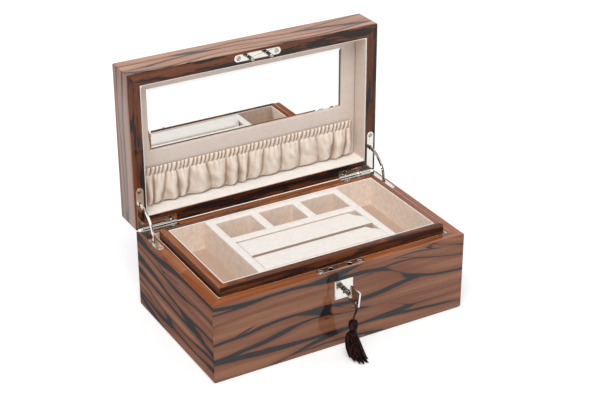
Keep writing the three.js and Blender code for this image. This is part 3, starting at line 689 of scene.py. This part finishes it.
def on_catch_pin(node, centre):
    """0 on the plates and stays, 1 on the shafts of the catch pins, 2 on their heads. The shafts take the
    nickel in painted dark reflection, and the heads in painted dim reflection.
    """
    if node != "catch_plate" or centre.y > HINGE_Y - 0.6:
        return 0
    return 1 if centre.y > HINGE_Y - CATCH_NECK_END else 2


def stouten_pins(obj):
    """Makes the catch pins a little thicker, and shorter beyond the necks that the bolt's forks close on."""
    lo, hi = mm_box("catch_plate")
    axis_z = (lo.z + hi.z) / 2
    for v in obj.data.vertices:
        x, y, z = v.co / MM
        out = HINGE_Y - y
        if out > 0.5:
            side = math.copysign(CATCH_PIN_X, x)
            out = min(out, CATCH_NECK_END) + max(0.0, out - CATCH_NECK_END) * CATCH_HEAD_SHORTER
            v.co = Vector((
                side + (x - side) * CATCH_PIN_WIDER, HINGE_Y - out, axis_z + (z - axis_z) * CATCH_PIN_WIDER,
            )) * MM


SIDES = ("left", "right")
for node, body, width in (
    ("lock_faceplate", "case", 0.3), ("catch_plate", "lid", 0.22),
    *((f"hinge_{part}_leaf_{side}", part, 0.18) for part in ("case", "lid") for side in SIDES),
    *((f"hinge_stay_{side}", f"stay_{side}", 0.35) for side in SIDES),
):
    polished = refined(node + "_polished", node, width)
    if node == "catch_plate":
        stouten_pins(polished)
    # The right stay takes the dimmer nickel copy: a painted dim reflection.
    shine = dim_painted_nickel if node == "hinge_stay_right" else nickel
    paint(polished, [shine, dark_painted_nickel, dim_painted_nickel], lambda centre, normal: on_catch_pin(node, centre))
    finish_piece(polished, body, "nickel", None, node)


SCREW = [  # from the point up, with the top of the head at height 0
    (0.35, -8.9), (0.7, -8.3), (1.0, -7.6), (1.0, -1.4), (2.12, -0.29), (2.17, -0.22),
    (2.1, -0.15), (1.6, -0.07), (0.9, -0.03), (0.2, -0.02),
]


def slotted_screw(node, body, turn):
    """A countersunk screw that faces +Z in the case and -Y in the open lid."""
    lo, hi = mm_box(node)
    centre = (lo + hi) / 2

    def place(p):
        if body == "case":
            return (centre.x + p[0], centre.y + p[1], hi.z + p[2])
        return (centre.x + p[0], lo.y - p[2], centre.z + p[1])

    def turn_slot(p):
        c, s = math.cos(turn), math.sin(turn)
        return place((c * p[0] - s * p[1], s * p[0] + c * p[1], p[2]))

    screw = turned(node + "_slotted", SCREW, 32, place)
    combine(screw, block("slot", (-3, -0.26, -0.55), (3, 0.26, 1), turn_slot), "DIFFERENCE")
    shade(screw.data, 30)
    # Screws in the lid take the dimmer nickel copy: a painted dim reflection.
    finish_piece(screw, body, "nickel", nickel if body == "case" else dim_painted_nickel, node)


SCREW_ROWS = [
    ("lock_screw", "case"), ("hinge_case_screw_side", "case"), ("hinge_case_screw_rear", "case"),
    ("catch_screw", "lid"), ("hinge_lid_screw_side", "lid"), ("hinge_lid_screw_rear", "lid"),
]
for k, (row, body) in enumerate(SCREW_ROWS):
    for j, side in enumerate(SIDES):
        slotted_screw(f"{row}_{side}", body, 0.5 + 1.1 * (2 * k + j))

# Escutcheon: a bevelled square plate with a shallow border line round its field.
lo, hi = mm_box("escutcheon")
cz = (lo.z + hi.z) / 2
half, back, face = (hi.x - lo.x) / 2, hi.y, lo.y
profile = [(0, back), (0, face + 0.5), (0.12, face + 0.2), (0.6, face), (1.5, face), (1.6, face + 0.12),
           (1.8, face + 0.12), (1.9, face), (6.0, face)]
plate = stepped("escutcheon_bevelled", (-half, half, -half, half), profile, lambda d: 0.25, 3,
                lambda p: (p[0], p[2], cz + p[1]), angle=20)
CUT_Y = (-90, -84)  # the keyhole's cutters reach past both faces of the plate
keyhole = turned("keyhole", [(2.2, y) for y in CUT_Y], 40, lambda p: (p[0], p[2], cz + p[1]))
combine(keyhole, block("keyhole_slot", (-1.3, CUT_Y[0], cz - 5.2), (1.3, CUT_Y[1], cz)), "UNION")
combine(plate, keyhole, "DIFFERENCE")
shade(plate.data, 20)
finish_piece(plate, "case", "nickel", nickel, "escutcheon")

# Key: a turned shaft with collars and a bit, and a square bow.
KEY_Z, KEY_TIP = 65.2, -79.2
key_profile = [
    (0.9, 0), (1.5, 0.15), (1.8, 0.6), (1.8, 9.3), (2.1, 9.4), (2.62, 9.6), (2.7, 9.8), (2.7, 10.4),
    (2.62, 10.6), (2.1, 10.8), (1.8, 10.9), (1.8, 13.5), (2.05, 13.6), (2.4, 13.9), (2.75, 14.4),
    (2.9, 14.9), (2.75, 15.4), (2.4, 15.9), (2.2, 16.0), (2.2, 16.35), (2.5, 16.5), (3.0, 16.8),
    (3.1, 17.1), (3.1, 17.7), (3.0, 18.0), (2.4, 18.4), (2.3, 18.6), (2.3, 18.95),
]
shaft = turned("key_shaft_turned", key_profile, 48, lambda p: (p[0], KEY_TIP - p[2], KEY_Z + p[1]))
bit = block("bit", (-0.9, -82.4, KEY_Z - 4.8), (0.9, -79.4, KEY_Z))
combine(shaft, bit, "UNION")
for y in (-81.9, -80.5):
    combine(shaft, block("ward", (-2, y, KEY_Z - 5.5), (2, y + 0.55, KEY_Z - 3.4)), "DIFFERENCE")
shade(shaft.data, 30)
# The shaft's dark nickel is a painted dark reflection.
finish_piece(shaft, "key", "nickel", dark_painted_nickel, "key_shaft")

# The bow: a square plate that leans a little to the right, with a small hole low in its front part.
# Its heights are measured from the key's axis.
BOW_Y, BOW_UP, BOW_LEAN, BOW_HALF = (-116.1, -98.5), (-6.6, 9.4), math.radians(6), 1.0
HOLE_Y, HOLE_UP, HOLE_R = -113.3, -3.4, 1.5


def bow_place(p):
    """Leans a point (across, y, height) with the bow."""
    c, s = math.cos(BOW_LEAN), math.sin(BOW_LEAN)
    return (c * p[0] + s * p[2], p[1], KEY_Z + c * p[2] - s * p[0])


edges = [(0.3, 0), (0.08, 0.08), (0, 0.3)]  # (inset, depth) of the rounded edge of each face
steps = [(d, x - BOW_HALF) for d, x in edges] + [(d, BOW_HALF - x) for d, x in reversed(edges)]
bow = stepped("key_bow_plate", (*BOW_Y, *BOW_UP), steps, lambda d: 0.7, 4,
              lambda p: bow_place((p[2], p[0], p[1])), angle=40)
wide = HOLE_R + 0.3  # where the hole opens out at the two faces
hole_profile = [(wide, -3), (wide, -BOW_HALF), (HOLE_R, 0.25 - BOW_HALF)]
hole_profile += [(HOLE_R, BOW_HALF - 0.25), (wide, BOW_HALF), (wide, 3)]
hole = turned("bow_hole", hole_profile, 40, lambda p: bow_place((p[2], HOLE_Y + p[0], HOLE_UP + p[1])))
combine(bow, hole, "DIFFERENCE")
shade(bow.data, 40)
# The bow's two broad faces take the dimmer nickel copy: a painted dim reflection.
paint(bow, [nickel, dim_painted_nickel], lambda centre, normal: 1 if abs(normal.x) > 0.9 else 0)
finish_piece(bow, "key", "nickel", None, "key_bow")

# ---- Tassel
HEAD_X, HEAD_Y, HEAD_TOP, HEAD_H = -3.4, -111.0, 43.2, 12.8
HEAD = [  # (share of the way down, radius)
    (0.0, 0.3), (0.03, 0.9), (0.055, 1.9), (0.09, 3.1), (0.15, 4.1), (0.25, 4.6), (0.4, 4.85), (0.52, 4.8),
    (0.64, 4.55), (0.75, 4.2), (0.84, 3.75), (0.9, 3.35), (0.94, 3.5), (0.97, 3.55), (1.0, 3.3),
]
BINDING = 0.83  # where the thread that binds the neck begins


def between(table, t):
    """Linear interpolation in rows that start with t."""
    for a, b in zip(table, table[1:]):
        if t <= b[0]:
            k = (t - a[0]) / (b[0] - a[0])
            return [x + (y - x) * k for x, y in zip(a[1:], b[1:])]
    return list(table[-1][1:])


loops = []
for j in range(61):
    t = j / 60
    (r,) = between(HEAD, t)
    wrap = 0.13 * math.sin(t * HEAD_H * TAU / 0.75) if t > BINDING else 0.0
    loop = []
    for k in range(96):
        a = k * TAU / 96
        strands = 0.15 * abs(math.sin(13 * a + 2.6 * t)) if 0.03 < t <= BINDING else 0.0
        rr = max(r - 0.12 + strands + wrap, 0.3)
        loop.append((HEAD_X + rr * math.cos(a), HEAD_Y + rr * math.sin(a), HEAD_TOP - t * HEAD_H))
    loops.append(loop)
head = build("tassel_head_wound", *skin(loops), angle=60)
finish_piece(head, "tassel", "silk", silk, "tassel_head")

SKIRT_TOP, SKIRT_END = Vector((-3.6, -111, 30.2)), 0.55
SKIRT = [  # (share of the way down, half-width in x and in y, shift in x and in y)
    (0, 3.3, 3.3, 0.2, 0), (0.16, 5.6, 5.6, -1.2, 0.8), (0.39, 7.5, 8.2, -0.4, -0.4),
    (0.66, 8.3, 10.2, 0.6, -2.5), (0.88, 8.2, 12.5, 2.2, -4.2), (1, 8.1, 14.6, 3.6, -5.6),
]


def skirt_point(t, angle, share):
    """A point of the skirt, share of the way out from its middle."""
    a, b, dx, dy = between(SKIRT, t)
    drop = (SKIRT_TOP.z - SKIRT_END) * t
    return Vector((
        SKIRT_TOP.x + dx + share * a * math.cos(angle), SKIRT_TOP.y + dy + share * b * math.sin(angle),
        SKIRT_TOP.z - drop,
    ))


def tube(points, radius, sides):
    """Loops of a thin strand that narrows a little at its end."""
    loops = []
    for k, (p, u, v) in enumerate(cross_frames(points)):
        r = radius * (1 - 0.25 * k / len(points))
        angles = [j * TAU / sides for j in range(sides)]
        loops.append([p + (u * math.cos(a) + v * math.sin(a)) * r for a in angles])
    return loops


rng = random.Random(5)
points, faces = [], []
STRANDS, LOCKS = 380, 11
for k in range(STRANDS):
    angle = (k * 0.61803) % 1 * TAU
    share = math.sqrt(rng.uniform(0.25, 1.0))
    if k % 3:
        share = rng.uniform(0.92, 1.0)
    lock = 0.5 + 0.5 * math.cos(LOCKS * angle + 0.8 * math.sin(3 * angle))
    share *= 0.90 + 0.10 * lock
    end = 0.90 + 0.06 * lock + rng.uniform(0, 0.04) - (0.07 if k % 11 == 0 else 0)
    bend, phase = rng.uniform(-0.10, 0.10), rng.uniform(0, TAU)
    line = []
    for j in range(12):
        t = end * j / 11
        a = angle + bend * t * t + 0.02 * math.sin(phase + 5 * t)
        p = skirt_point(t, a, share)
        p.x += 0.15 * t * math.sin(phase + 7 * t)
        line.append(p)
    more, quads = skin(tube(line, rng.uniform(0.26, 0.36), 4))
    faces += [tuple(i + len(points) for i in q) for q in quads]
    points += more
core = [
    [skirt_point(t, k * TAU / 32, 0.80) for k in range(32)] for t in (0, 0.12, 0.3, 0.5, 0.7, 0.85, 0.9)
]
more, quads = skin(core)
faces += [tuple(i + len(points) for i in q) for q in quads]
points += more
skirt = build("tassel_skirt_threads", points, faces, angle=70)
finish_piece(skirt, "tassel", "silk", silk, "tassel_skirt")

# ---- Lid
wall_lo, wall_hi = mm_box("lid_left_wall")
TOP_WALL = wall_hi.z - mm_box("lid_front_wall")[0].z
LID_SIDE = wall_hi.x - wall_lo.x


def lid_face(centre, normal):
    """Front and rear bands, sides, back, and the rims along x and along z."""
    from_side = (-CASE_LOW.x - abs(centre.x)) / LID_SIDE
    from_end = min(wall_hi.z - centre.z, centre.z - wall_lo.z) / TOP_WALL
    if normal.y < -0.6 and centre.y < wall_lo.y + 6:
        return 4 if from_side < from_end else 3
    if normal.y > 0.6:
        return 2
    return 1 if abs(normal.x) > 0.6 else 0


LID_NODES = ["lid_front_wall", "lid_right_wall", "lid_rear_wall", "lid_left_wall", "lid_top_board"]
carcass("lid_carcass", "lid", LID_NODES,
        [veneer_lid_band, veneer_lid_side, veneer_lid_back, lid_rim_x, lid_rim_z], lid_face, 1.2,
        ((1, wall_lo.y), (2, wall_lo.z)))


def upright(p):
    """Stands a point that was drawn in plan, as the open lid does."""
    return (p[0], p[2], p[1])


def lid_lining_face(centre, normal):
    """Painted light and shade: the lower wall's upper side and the folded edge take the lit suede, and the
    other walls the copy in painted shade.
    """
    return 0 if normal.z > 0.5 or centre.y < lo.y + 0.6 else 1


lo, hi = mm_box("lid_lining_walls")
lid_lining = lining_ring("lid_lining_wrapped", (lo.x, hi.x, lo.z, hi.z, hi.y, lo.y), 1.2, 0.6, 3.2, upright)
paint(lid_lining, [suede, lid_shaded_suede], lid_lining_face)
finish_piece(lid_lining, "lid", "suede", None, "lid_lining_walls")

# The padded panel: foam under suede, rounded where it turns down into the mirror's recess. The glass
# and its recess lie a little lower and further left than their CAD solids.
lo, hi = mm_box("lid_padded_panel")
glass_lo, glass_hi = mm_box("lid_mirror")
glass_lo += Vector((-2.3, 0, -0.8))
glass_hi += Vector((-0.3, 0, -0.8))
glass_rect = (glass_lo.x, glass_hi.x, glass_lo.z, glass_hi.z)
face, back = lo.y, hi.y
profile = [
    (0, 0, back), (0, 0, face + 1.8), (0, 0.3, face + 0.9), (0, 1.2, face + 0.3), (0, 3.0, face + 0.05),
    (0.5, 0, face - 0.12), (1, -2.6, face), (1, -1.2, face + 0.1), (1, -0.5, face + 0.45),
    (1, -0.25, face + 1.1), (1, -0.25, back),
]
CLEAR = 0.15  # the panel's gap to the lining
panel = frame_ring(
    "lid_panel_padded", (lo.x + CLEAR, hi.x - CLEAR, lo.z + CLEAR, hi.z - CLEAR), glass_rect, profile,
    (2.2, 0.5), upright)
finish_piece(panel, "lid", "suede", panel_suede, "lid_padded_panel")

# Mirror: silvered glass with a narrow polished bevel, set a little below the suede.
SUNK, BEVEL = 0.55, 2.4
front_y = glass_lo.y + SUNK


def mirror_face(centre, normal):
    """0 on the silvered face and bevel, 1 on the edges and the back, 2 on the bevel that faces right."""
    if normal.y > -0.5:
        return 1
    return 2 if normal.y > -0.99 and normal.x > 0.2 else 0


steps = [(0, glass_hi.y), (0, front_y + 0.7), (BEVEL, front_y), (BEVEL + 0.3, front_y)]
mirror = stepped("lid_mirror_glass", glass_rect, steps, lambda d: 0.4, 2, upright, angle=8)
paint(mirror, [mirror_glass, mirror_edge, bevel_shade], mirror_face)
finish_piece(mirror, "lid", "mirror", None, "lid_mirror")

# Gathered pocket: elastic along its open top edge, sewn down at the hem.
lo, hi = mm_box("lid_pocket")
POCKET_COLS, POCKET_ROWS = 540, 60
BAND = 0.80  # share of the height where the elastic's band begins
RIDGES = 52  # of the gathers along the band
THICK = 0.6
span = hi.x - lo.x - 1.0
rng = random.Random(23)
folds = []  # each: its left edge under the band, its left edge at the hem, height, skew, ridges
x = 0.0
while x < span - 7:
    at_hem = x + rng.uniform(-6, 6) * (x > 0)
    folds.append((x, at_hem, rng.uniform(0.5, 1.0), rng.uniform(0.6, 1.8), rng.choice((3, 4))))
    x += rng.uniform(11, 24)
folds.append((span, span, 0.8, 1.0, 2))


def pocket_out(x, t):
    """How far the cloth stands off the panel at x along it and share t of the way up."""
    down = max(0.0, 1 - t / BAND)
    belly = math.sin(min(t / 0.78, 1.0) * math.pi) ** 0.8 if t < 0.78 else 0.0
    out = 1.9 + 2.4 * belly
    if t < BAND:
        for (a, a_low, tall, skew, ridges), (b, b_low, _, _, _) in zip(folds, folds[1:]):
            left = a + (a_low - a) * down
            right = b + (b_low - b) * down
            if left <= x <= right:
                u = (x - left) / (right - left)
                crest = math.sin(math.pi * u ** skew) ** 0.8
                out += 5.2 * tall * crest * (0.42 + 0.58 * ease(down * 1.9))
                out += 1.1 * abs(math.sin(math.pi * ridges * u ** skew)) ** 0.7 * ease((t - 0.40) / 0.40)
        out += 0.55 * noise.noise(Vector((x / 5.5 + 2.2 * t, t * 2.2, 4.0)))
        out += 1.6 * noise.noise(Vector((x / 11 + 3 * t, t * 2.6, 9.0))) * belly
        out *= 0.55 + 0.45 * ease(t / 0.09)
    fill = ease((t - BAND + 0.05) / 0.05)
    v = (x + 1.9 * (1 - t) / (1 - BAND)) / span * RIDGES + 0.35 * noise.noise(Vector((x / 9, 3.0, 1.0)))
    ridge = abs(math.sin(math.pi * v)) ** 0.75
    puff = math.sin(math.pi * min(1.0, max(0.0, (t - BAND) / (1 - BAND)))) ** 0.5
    banded = 1.3 + 0.7 * puff + (2.1 + 0.6 * puff) * ridge
    out = out * (1 - fill) + banded * fill
    ends = ease(min(x, span - x) / 5)
    return 0.8 + (out - 0.8) * (0.35 + 0.65 * ends)


def pocket_grid(inset):
    """Rows of points of the cloth from the hem up, drawn back towards the panel by inset."""
    rows = []
    for j in range(POCKET_ROWS + 1):
        t = j / POCKET_ROWS
        row = []
        for i in range(POCKET_COLS + 1):
            x = span * i / POCKET_COLS
            end = ease(min(x, span - x) / 6)
            full = pocket_out(x, 0.12)
            out = min(pocket_out(x, t), hi.y - lo.y - 0.2) - inset
            hem = 1.2 - 0.42 * (full - 4.5) + 0.6 * noise.noise(Vector((x / 11, 1.0, 2.0)))
            top = 0.45 * abs(math.sin(math.pi * x / span * RIDGES)) - 0.4
            z = lo.z + 1.0 + hem * (1 - t) ** 2 + (hi.z - lo.z - 1.4) * t + top * ease((t - BAND) / 0.2)
            z += 2.6 * (1 - end) * (1 - t) ** 2
            row.append((lo.x + 0.5 + x, hi.y - out, z))
        rows.append(row)
    return rows


def crease_shade_depth(rows):
    """For each point, how far it lies behind the cloth on its two sides, from 0 to 1: the strength of the
    painted shade in the creases.
    """
    reach = 7  # points to each side
    depths = []
    for row in rows:
        for i, p in enumerate(row):
            left = min(q[1] for q in row[max(0, i - reach):i + 1])
            right = min(q[1] for q in row[i:i + reach + 1])
            depths.append(min(1.0, max(0.0, (p[1] - 0.5 * (left + right)) / 1.6)))
    return depths


front_rows, back_rows = pocket_grid(0.0), pocket_grid(THICK)
n, m = POCKET_COLS + 1, POCKET_ROWS + 1
points = [p for row in front_rows + back_rows for p in row]
shift = n * m  # from a point of the front to the one behind it
faces = []
for j in range(POCKET_ROWS):
    for i in range(POCKET_COLS):
        a = j * n + i
        faces.append((a, a + 1, a + n + 1, a + n))
        faces.append((a + shift, a + n + shift, a + n + 1 + shift, a + 1 + shift))
edge_loop = list(range(n)) + [j * n + n - 1 for j in range(1, m)]
edge_loop += [(m - 1) * n + i for i in range(n - 2, -1, -1)] + [j * n for j in range(m - 2, 0, -1)]
for a, b in zip(edge_loop, edge_loop[1:] + edge_loop[:1]):
    faces.append((a, a + shift, b + shift, b))
pocket = build("lid_pocket_gathered", points, faces, angle=80)
# Painted shade: the velour darkens where the cloth lies deep in its creases.
painted_crease_shade = pocket.data.attributes.new("painted_crease_shade", "FLOAT", "POINT")
painted_crease_shade.data.foreach_set("value", crease_shade_depth(front_rows) * 2)
finish_piece(pocket, "lid", "satin", velour, "lid_pocket")

# ---- Tray
TRAY_RAILS = ["tray_front_rail", "tray_right_rail", "tray_rear_rail", "tray_left_rail"]
front, right, rear, left = (mm_box(n) for n in TRAY_RAILS)
outer = (left[0].x, right[1].x, front[0].y, rear[1].y)
inner = (left[1].x, right[0].x, front[1].y, rear[0].y)
bottom, top = front[0].z, front[1].z
profile = [
    (0, 0.3, bottom), (0, 0, bottom + 0.4), (0, 0, top - 2.4), (0, 0.1, top - 1.75), (0, 0.4, top - 1.1),
    (0, 0.95, top - 0.5), (0, 1.7, top - 0.12), (0, 2.5, top), (1, -0.8, top - 0.5), (1, -0.3, top - 0.62),
    (1, 0, top - 1.0), (1, 0, bottom),
]
tray = frame_ring("tray_frame_moulded", outer, inner, profile, angle=25)


def tray_face(centre, normal):
    """Rims along x and y, then the sides under them, which are in painted shade, parted at the mitres."""
    gap_x = min(centre.x - outer[0], outer[1] - centre.x) / (inner[0] - outer[0])
    gap_y = min(centre.y - outer[2], outer[3] - centre.y) / (inner[2] - outer[2])
    end = 1 if gap_x < gap_y else 0
    return end + 2 if abs(normal.z) < 0.3 else end


paint(tray, [tray_x, tray_y, tray_front_side_shaded, tray_end_side_shaded], tray_face)
finish_piece(tray, "tray", "tray_wood", None, *TRAY_RAILS)

# Tray lining: wrapped card walls in painted shade with a folded edge in painted light, and a padded floor in
# deeper painted shade.
lo, hi = mm_box("tray_lining")
r = 0.6
wall = 2 * r
pad_top = lo.z + 2.0
steps = [(0, lo.z), (0, hi.z - r)]
steps += [(r - r * math.cos(a), hi.z - r + r * math.sin(a)) for a in (0.5, 1.1)]
steps += [(wall - (r - r * math.cos(a)), hi.z - r + r * math.sin(a)) for a in (1.1, 0.5)]
steps += [(wall, hi.z - r), (wall, pad_top + 0.4), (wall + 0.15, pad_top + 0.1), (wall + 0.8, pad_top)]
lining = stepped("tray_lining_wrapped", (lo.x, hi.x, lo.y, hi.y), steps, lambda d: 0.06 + 0.5 * (d > 0.9), 3)


def lining_face(centre, normal):
    """0 on the folded edge, in painted light; 1 on the walls, in painted shade; 2 on the floor, in deeper
    painted shade.
    """
    if centre.z > hi.z - 1:
        return 0
    return 2 if normal.z > 0.5 else 1


paint(lining, [suede, shaded_suede, deep_shaded_suede], lining_face)
finish_piece(lining, "tray", "suede", None, "tray_lining")


def slab_with_wells(name, outline, wells, z0, z1, round_over):
    """A slab with wells right through it, and soft rounded edges round its top and each well."""
    r = round_over
    rise = [(0, z0), (0, z1 - r)]
    rise += [(r - r * math.cos(a), z1 - r + r * math.sin(a)) for a in (0.3, 0.6, 0.9, 1.2, 1.571)]
    bm = bmesh.new()
    rims = {z0: [], z1: []}
    for (x0, x1, y0, y1), sign in [(outline, 1)] + [(w, -1) for w in wells]:
        rings = []
        for d, z in rise:
            d *= sign
            plan = rounded_rect(x0 + d, x1 - d, y0 + d, y1 - d, 1.0 - min(d, 0.0), 5)
            rings.append([bm.verts.new(Vector((x, y, z)) * MM) for x, y in plan])
        for low, high in zip(rings, rings[1:]):
            for k in range(len(low)):
                m = (k + 1) % len(low)
                bm.faces.new((low[k], low[m], high[m], high[k]))
        for z, ring in ((z0, rings[0]), (z1, rings[-1])):
            rims[z] += [bm.edges.get((ring[k], ring[k - 1])) for k in range(len(ring))]
    for edges in rims.values():
        bmesh.ops.triangle_fill(bm, edges=edges, use_beauty=True)
    bmesh.ops.recalc_face_normals(bm, faces=bm.faces)
    mesh = bpy.data.meshes.new(name)
    bm.to_mesh(mesh)
    bm.free()
    shade(mesh, 50)
    return linked(name, mesh)


lo, hi = mm_box("tray_dividers")
ROLL_BAY = (-73, 68, -60.6, 3)
WELLS = [(-73, -32.5, 13, 48), (-23, 17.5, 13, 48), (27, 68, 13, 48)]
dividers = slab_with_wells(
    "tray_dividers_soft", (lo.x, hi.x, lo.y, hi.y), [*WELLS, ROLL_BAY], lo.z, hi.z, 1.5)
# Painted light and shade: the tops take the lit suede, and the sides the copy in painted shade.
paint(dividers, [suede, shaded_suede], lambda centre, normal: 0 if normal.z > 0.35 else 1)
finish_piece(dividers, "tray", "suede", None, "tray_dividers")


def ring_roll(name, node):
    """A foam ring bolster between the ends of its bay: crowned, rounded at the rear, and pulled in at
    its rear right corner."""
    lo, hi = mm_box(node)
    stations = 96
    depth = hi.y - lo.y
    front, rear = lo.y + 0.02, hi.y - 2.1
    outline = [(front, lo.z), (rear, lo.z)]
    outline += arc(rear - 3.4, hi.z - 3.4, 3.4, 0, 80, 10)
    outline += [(rear - 3.4 - (depth - 7) * k / 24, hi.z) for k in range(1, 24)]
    outline += arc(front + 0.8, hi.z - 0.8, 0.8, 95, 180, 7)
    left = ROLL_BAY[0] + 0.02
    loops = []
    for i in range(stations + 1):
        loop = []
        for y, z in outline:
            back = (y - lo.y) / depth
            right = ROLL_BAY[1] - 0.4 - 5.4 * ease((back - 0.35) / 0.65)
            x = left + (right - left) * i / stations
            high = (z - lo.z) / (hi.z - lo.z)
            sink = 0.5 * (1 - ease((right - x) / 1.2))
            sink += 4.2 * ease((x - right + 7) / 7) * ease((back - 0.45) / 0.5)
            loop.append((x, y, z - sink * max(0.0, high) ** 4))
        loops.append(loop)
    return build(name, *skin(loops), angle=50)


def in_slit(end, normal):
    """1 on the sides of a roll that only its ring slits show: these take the suede in painted shade."""
    hidden = normal.z <= 0.5 and normal.x > -0.5 and (end == "rear" or normal.y > -0.1)
    return 1 if hidden else 0


for end in ("front", "rear"):
    roll = ring_roll(f"ring_roll_foam_{end}", f"ring_roll_{end}")
    # Painted shade in the slits between the rolls.
    paint(roll, [suede, deep_shaded_suede], lambda centre, normal: in_slit(end, normal))
    finish_piece(roll, "tray", "suede", None, f"ring_roll_{end}")

# ---- CAD nodes that stay
# The hinge pins take the dimmer nickel copy: a painted dim reflection.
for node, material in (
    ("case_bottom_board", plain_wood), ("tray_bottom_board", plain_wood), ("lock_case", dark_steel),
    ("lock_bolt", dark_steel), ("lock_tumbler", dark_steel), ("hinge_pin_left", dim_painted_nickel),
    ("hinge_pin_right", dim_painted_nickel),
):
    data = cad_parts[node].data
    data.materials.clear()
    data.materials.append(material)

# ---- Floor and light
floor_finish = Finish("floor_white", roughness=0.6, specular_ior_level=0.2, emission_strength=0.3)
floor_finish.set("Emission Color", (1.0, 1.0, 1.0))
grain = floor_finish.noise(floor_finish.coords("xyz", (900, 900, 900)), 1.0)
floor_finish.set("Base Color", floor_finish.mix(grain, (0.80, 0.80, 0.80), (0.78, 0.78, 0.78)))
REACH = 4000  # of the floor, each way
floor = build("floor", [(-REACH, -REACH, 0), (REACH, -REACH, 0), (REACH, REACH, 0), (-REACH, REACH, 0)],
              [(0, 1, 2, 3)])
floor.data.materials.append(floor_finish.mat)

world = bpy.data.worlds.new("studio")
bpy.context.scene.world = world
world.use_nodes = True
background = world.node_tree.nodes["Background"]
background.inputs["Color"].default_value = (1.0, 1.0, 1.0, 1)
SHED = 0.56  # the strength of the light that the studio sheds on matt surfaces


def light_studio():
    """White behind the object and in what its polish reflects, except for the dim side of the
    studio above the front and its ceiling, and a softer white for the light that it sheds."""
    sky = Nodes(world.node_tree)
    path = sky.tree.nodes.new("ShaderNodeLightPath")
    place = sky.tree.nodes.new("ShaderNodeTexCoord")
    split = sky.tree.nodes.new("ShaderNodeSeparateXYZ")
    sky.feed(split.inputs[0], place.outputs["Generated"])
    y, z = split.outputs["Y"], split.outputs["Z"]
    front = sky.spread(y, -0.1, -0.5)
    above = sky.math("MULTIPLY", sky.spread(z, 0.12, 0.26), sky.spread(z, 0.52, 0.64, 1.0, 0.0))
    ceiling = sky.spread(z, 0.84, 0.92, 0.0, 0.7)
    dim = sky.math("MAXIMUM", sky.math("MULTIPLY", front, above), ceiling)
    glossy = sky.math("SUBTRACT", 1.0, sky.math("MULTIPLY", dim, 0.92))
    shed = sky.math("MULTIPLY_ADD", path.outputs["Is Glossy Ray"], sky.math("SUBTRACT", glossy, SHED), SHED)
    sky.feed(background.inputs["Strength"], sky.math("MAXIMUM", shed, path.outputs["Is Camera Ray"]))


light_studio()

# The key light: a wide soft source high on the left, in front.
key_light = bpy.data.lights.new("key_light", "SUN")
key_light.energy, key_light.angle = 2.0, math.radians(38)
towards_light = Vector((-0.36, -0.56, 1.0))
linked("key_light", key_light).rotation_euler = towards_light.to_track_quat("Z", "Y").to_euler()
